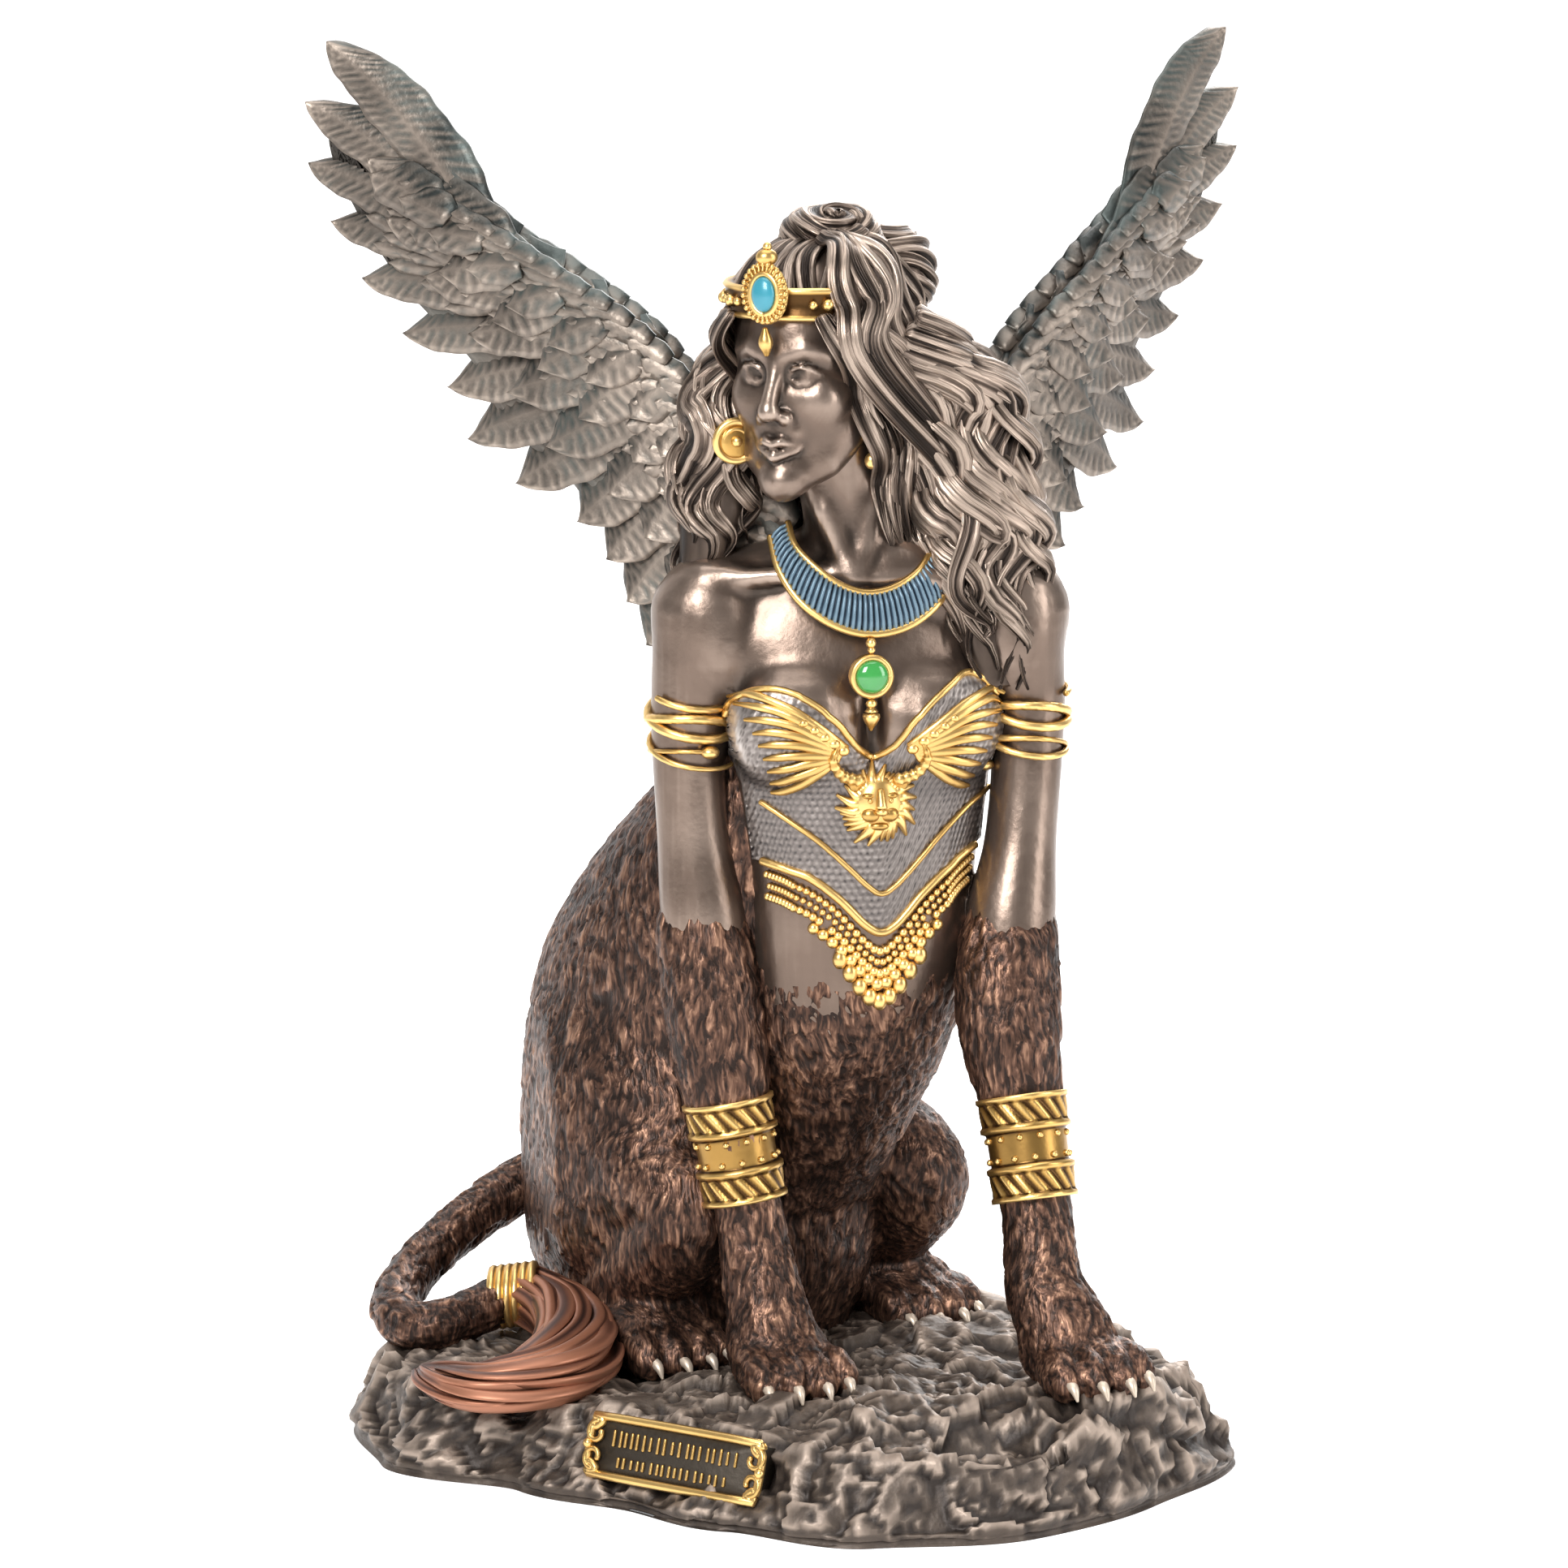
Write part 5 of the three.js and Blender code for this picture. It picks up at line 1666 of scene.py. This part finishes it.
# A raised gilt frame with hollow corners and scrolled ends round a dark field with rows of strokes.
def namePlate():
    lean, turn = math.radians(plate["lean"]), math.radians(plate["turn"])
    ahead = np.array([0, -math.cos(lean), math.sin(lean)])
    upward = np.array([0, math.sin(lean), math.cos(lean)])
    c, s = math.cos(turn), math.sin(turn)
    spin = np.array([[c, -s, 0], [s, c, 0], [0, 0, 1]])

    def place(x, z, out):
        return spin @ (np.array([x, 0, 0]) + upward * z + ahead * out) + [plate["x"], plate["y"], plate["z"]]

    w, h = plate["width"] / 2 - 1.0, plate["height"] / 2 - 0.9
    slab = []
    for out, inset in ((-5.6, 0.4), (-0.9, 0.4), (-0.5, 0.8)):
        edge = [
            (-w + inset, -h + inset), (w - inset, -h + inset), (w - inset, h - inset), (-w + inset, h - inset)
        ]
        fine = []
        for (x0, z0), (x1, z1) in zip(edge, edge[1:] + edge[:1]):
            fine += [
                place(x0 + (x1 - x0) * t, z0 + (z1 - z0) * t, out)
                for t in np.linspace(0, 1, 12, endpoint=False)
            ]
        slab.append(fine)
    field = outward(grid(np.array(slab)))
    nick = 2.0
    corner = []
    for sx, sz, flip in ((-1, -1, 0), (1, -1, 1), (1, 1, 0), (-1, 1, 1)):
        turns = np.linspace(0, math.pi / 2, 6)
        arc = [(sx * (w - nick * math.sin(t)), sz * (h - nick * math.cos(t))) for t in turns]
        corner += arc[::-1] if flip else arc
    loop = corner + corner[:2]
    wire([place(x, z, -0.2) for x, z in loop], 0.75, sides=8, per=3, front=spin @ ahead)
    for sx in (-1, 1):
        for sz in (1, -1):
            scroll = [
                place(
                    sx * (w - 1.2 + 1.9 * math.sin(t) * (1 - t / 9)),
                    sz * (h * 0.42 + 2.0 * math.cos(t) * (1 - t / 9)), 0.1
                )
                for t in np.linspace(0, 5, 12)
            ]
            wire(scroll, 0.5, sides=7, front=spin @ ahead)
        bead(place(sx * (w + 0.2), 0, 0.2), 0.9)
    source = np.random.default_rng(4)
    for z, high, long in ((1.5, 2.5, 25), (-2.4, 1.7, 22)):
        x = -long / 2
        while x < long / 2:
            tall = high * source.uniform(0.7, 1.0)
            wire(
                [place(x, z - tall / 2, -0.35), place(x, z + tall / 2, -0.35)], 0.3, sides=6,
                front=spin @ ahead
            )
            x += source.uniform(0.95, 1.7)
    makePiece(
        "plate_field", field, finish("plate_field", plate, 0.3), "bronze", relief=np.full(len(field[0]), 0.5)
    )


stones = band()
ribRelief = collar()
greens = pendant()
corset()
chestWings()
mask()
beads()
serpent((-16.3, 0.2), 7.0, 131.5, 118.5, (0.6, -0.3), start=-2.6)
serpent((39.6, -8.4), 6.9, 131.5, 118.5, (-0.6, -0.6), start=-0.6)
cuff([-11.2, -5.4, 62], [-8.6, -7.6, 45], 7.3)
cuff([36.4, -19.4, 63.5], [37.8, -24, 46.5], 7.3)
earrings()
tailRing()
namePlate()
metalwork = joined(gilded)
cavity = ridgesOf(metalwork, 2)
makePiece("gilt_jewellery", metalwork, gilt, "gilt", relief=np.clip(0.36 + 3.2 * cavity, 0, 1))
enamelled = joined(blue)
cavity = ridgesOf(enamelled, 3)
makePiece(
    "collar_enamel", enamelled, blueEnamel, "blue_enamel", relief=np.clip(ribRelief + 1.5 * cavity, 0, 1)
)
makePiece("brow_stone", joined(stones), turquoisePaint, "turquoise")
makePiece("pendant_stone", joined(greens), greenPaint, "green_stone")
print("jewellery made", parts[-4:])


# The set
studio = {
    "paper": (0.9, 0.9, 0.9), "glow": 0.4, "sky": 0.32, "lens": 162.1, "distance": 1.2,
    "around": -12, "above": 10,
    "target": (0.0017, 0.0093, 0.113),
    "lamps": {  # place, size, power
        "key": ((-0.55, -0.85, 0.75), (0.45, 0.6), 16), "fill": ((0.9, -0.6, 0.45), (0.4, 0.8), 6),
        "top": ((0.05, 0.1, 1.1), (0.9, 0.9), 8), "rim": ((0.5, 0.8, 0.6), (0.5, 0.6), 6),
    },
}


def stageSet():
    profile = [(-3.0, 0.0), (0.8, 0.0)]
    profile += [(0.8 + 0.7 * math.sin(t), 0.7 - 0.7 * math.cos(t)) for t in np.linspace(0.1, math.pi / 2, 16)]
    profile += [(1.5, 3.0)]
    sweep = bpy.data.meshes.new("floor")
    sweep.from_pydata(
        [(x, y, z) for y, z in profile for x in (-3.0, 3.0)], [],
        [(2 * i, 2 * i + 1, 2 * i + 3, 2 * i + 2) for i in range(len(profile) - 1)]
    )
    sweep.polygons.foreach_set("use_smooth", [True] * len(sweep.polygons))
    floor = bpy.data.objects.new("floor", sweep)
    bpy.context.collection.objects.link(floor)
    paper = plain("paper", studio["paper"], 0.8)
    shader = paper.node_tree.nodes["Principled BSDF"]
    shader.inputs["Emission Color"].default_value = (1, 1, 1, 1)
    shader.inputs["Emission Strength"].default_value = studio["glow"]
    floor.data.materials.append(paper)
    for name, (place, size, power) in studio["lamps"].items():
        light = bpy.data.lights.new(name, "AREA")
        light.shape = "RECTANGLE"
        light.size, light.size_y = size
        light.energy = power
        lamp = bpy.data.objects.new(name, light)
        bpy.context.collection.objects.link(lamp)
        lamp.location = place
        lamp.rotation_euler = (Vector((0, 0, 0.11)) - Vector(place)).to_track_quat("-Z", "Y").to_euler()
    world = bpy.data.worlds.new("studio")
    world.use_nodes = True
    world.node_tree.nodes["Background"].inputs["Color"].default_value = (1, 1, 1, 1)
    world.node_tree.nodes["Background"].inputs["Strength"].default_value = studio["sky"]
    bpy.context.scene.world = world
    lens = bpy.data.cameras.new("camera")
    lens.lens = studio["lens"]
    lens.sensor_width = 36
    lens.clip_start = 0.05
    camera = bpy.data.objects.new("camera", lens)
    bpy.context.collection.objects.link(camera)
    target = Vector(studio["target"])
    around, above = math.radians(studio["around"]), math.radians(studio["above"])
    away = Vector((math.sin(around) * math.cos(above), -math.cos(around) * math.cos(above), math.sin(above)))
    camera.location = target + away * studio["distance"]
    camera.rotation_euler = (-away).to_track_quat("-Z", "Y").to_euler()
    bpy.context.scene.camera = camera
    bpy.context.scene.view_settings.view_transform = "Standard"


stageSet()
print("triangles", sum(count for _, count in parts), parts)
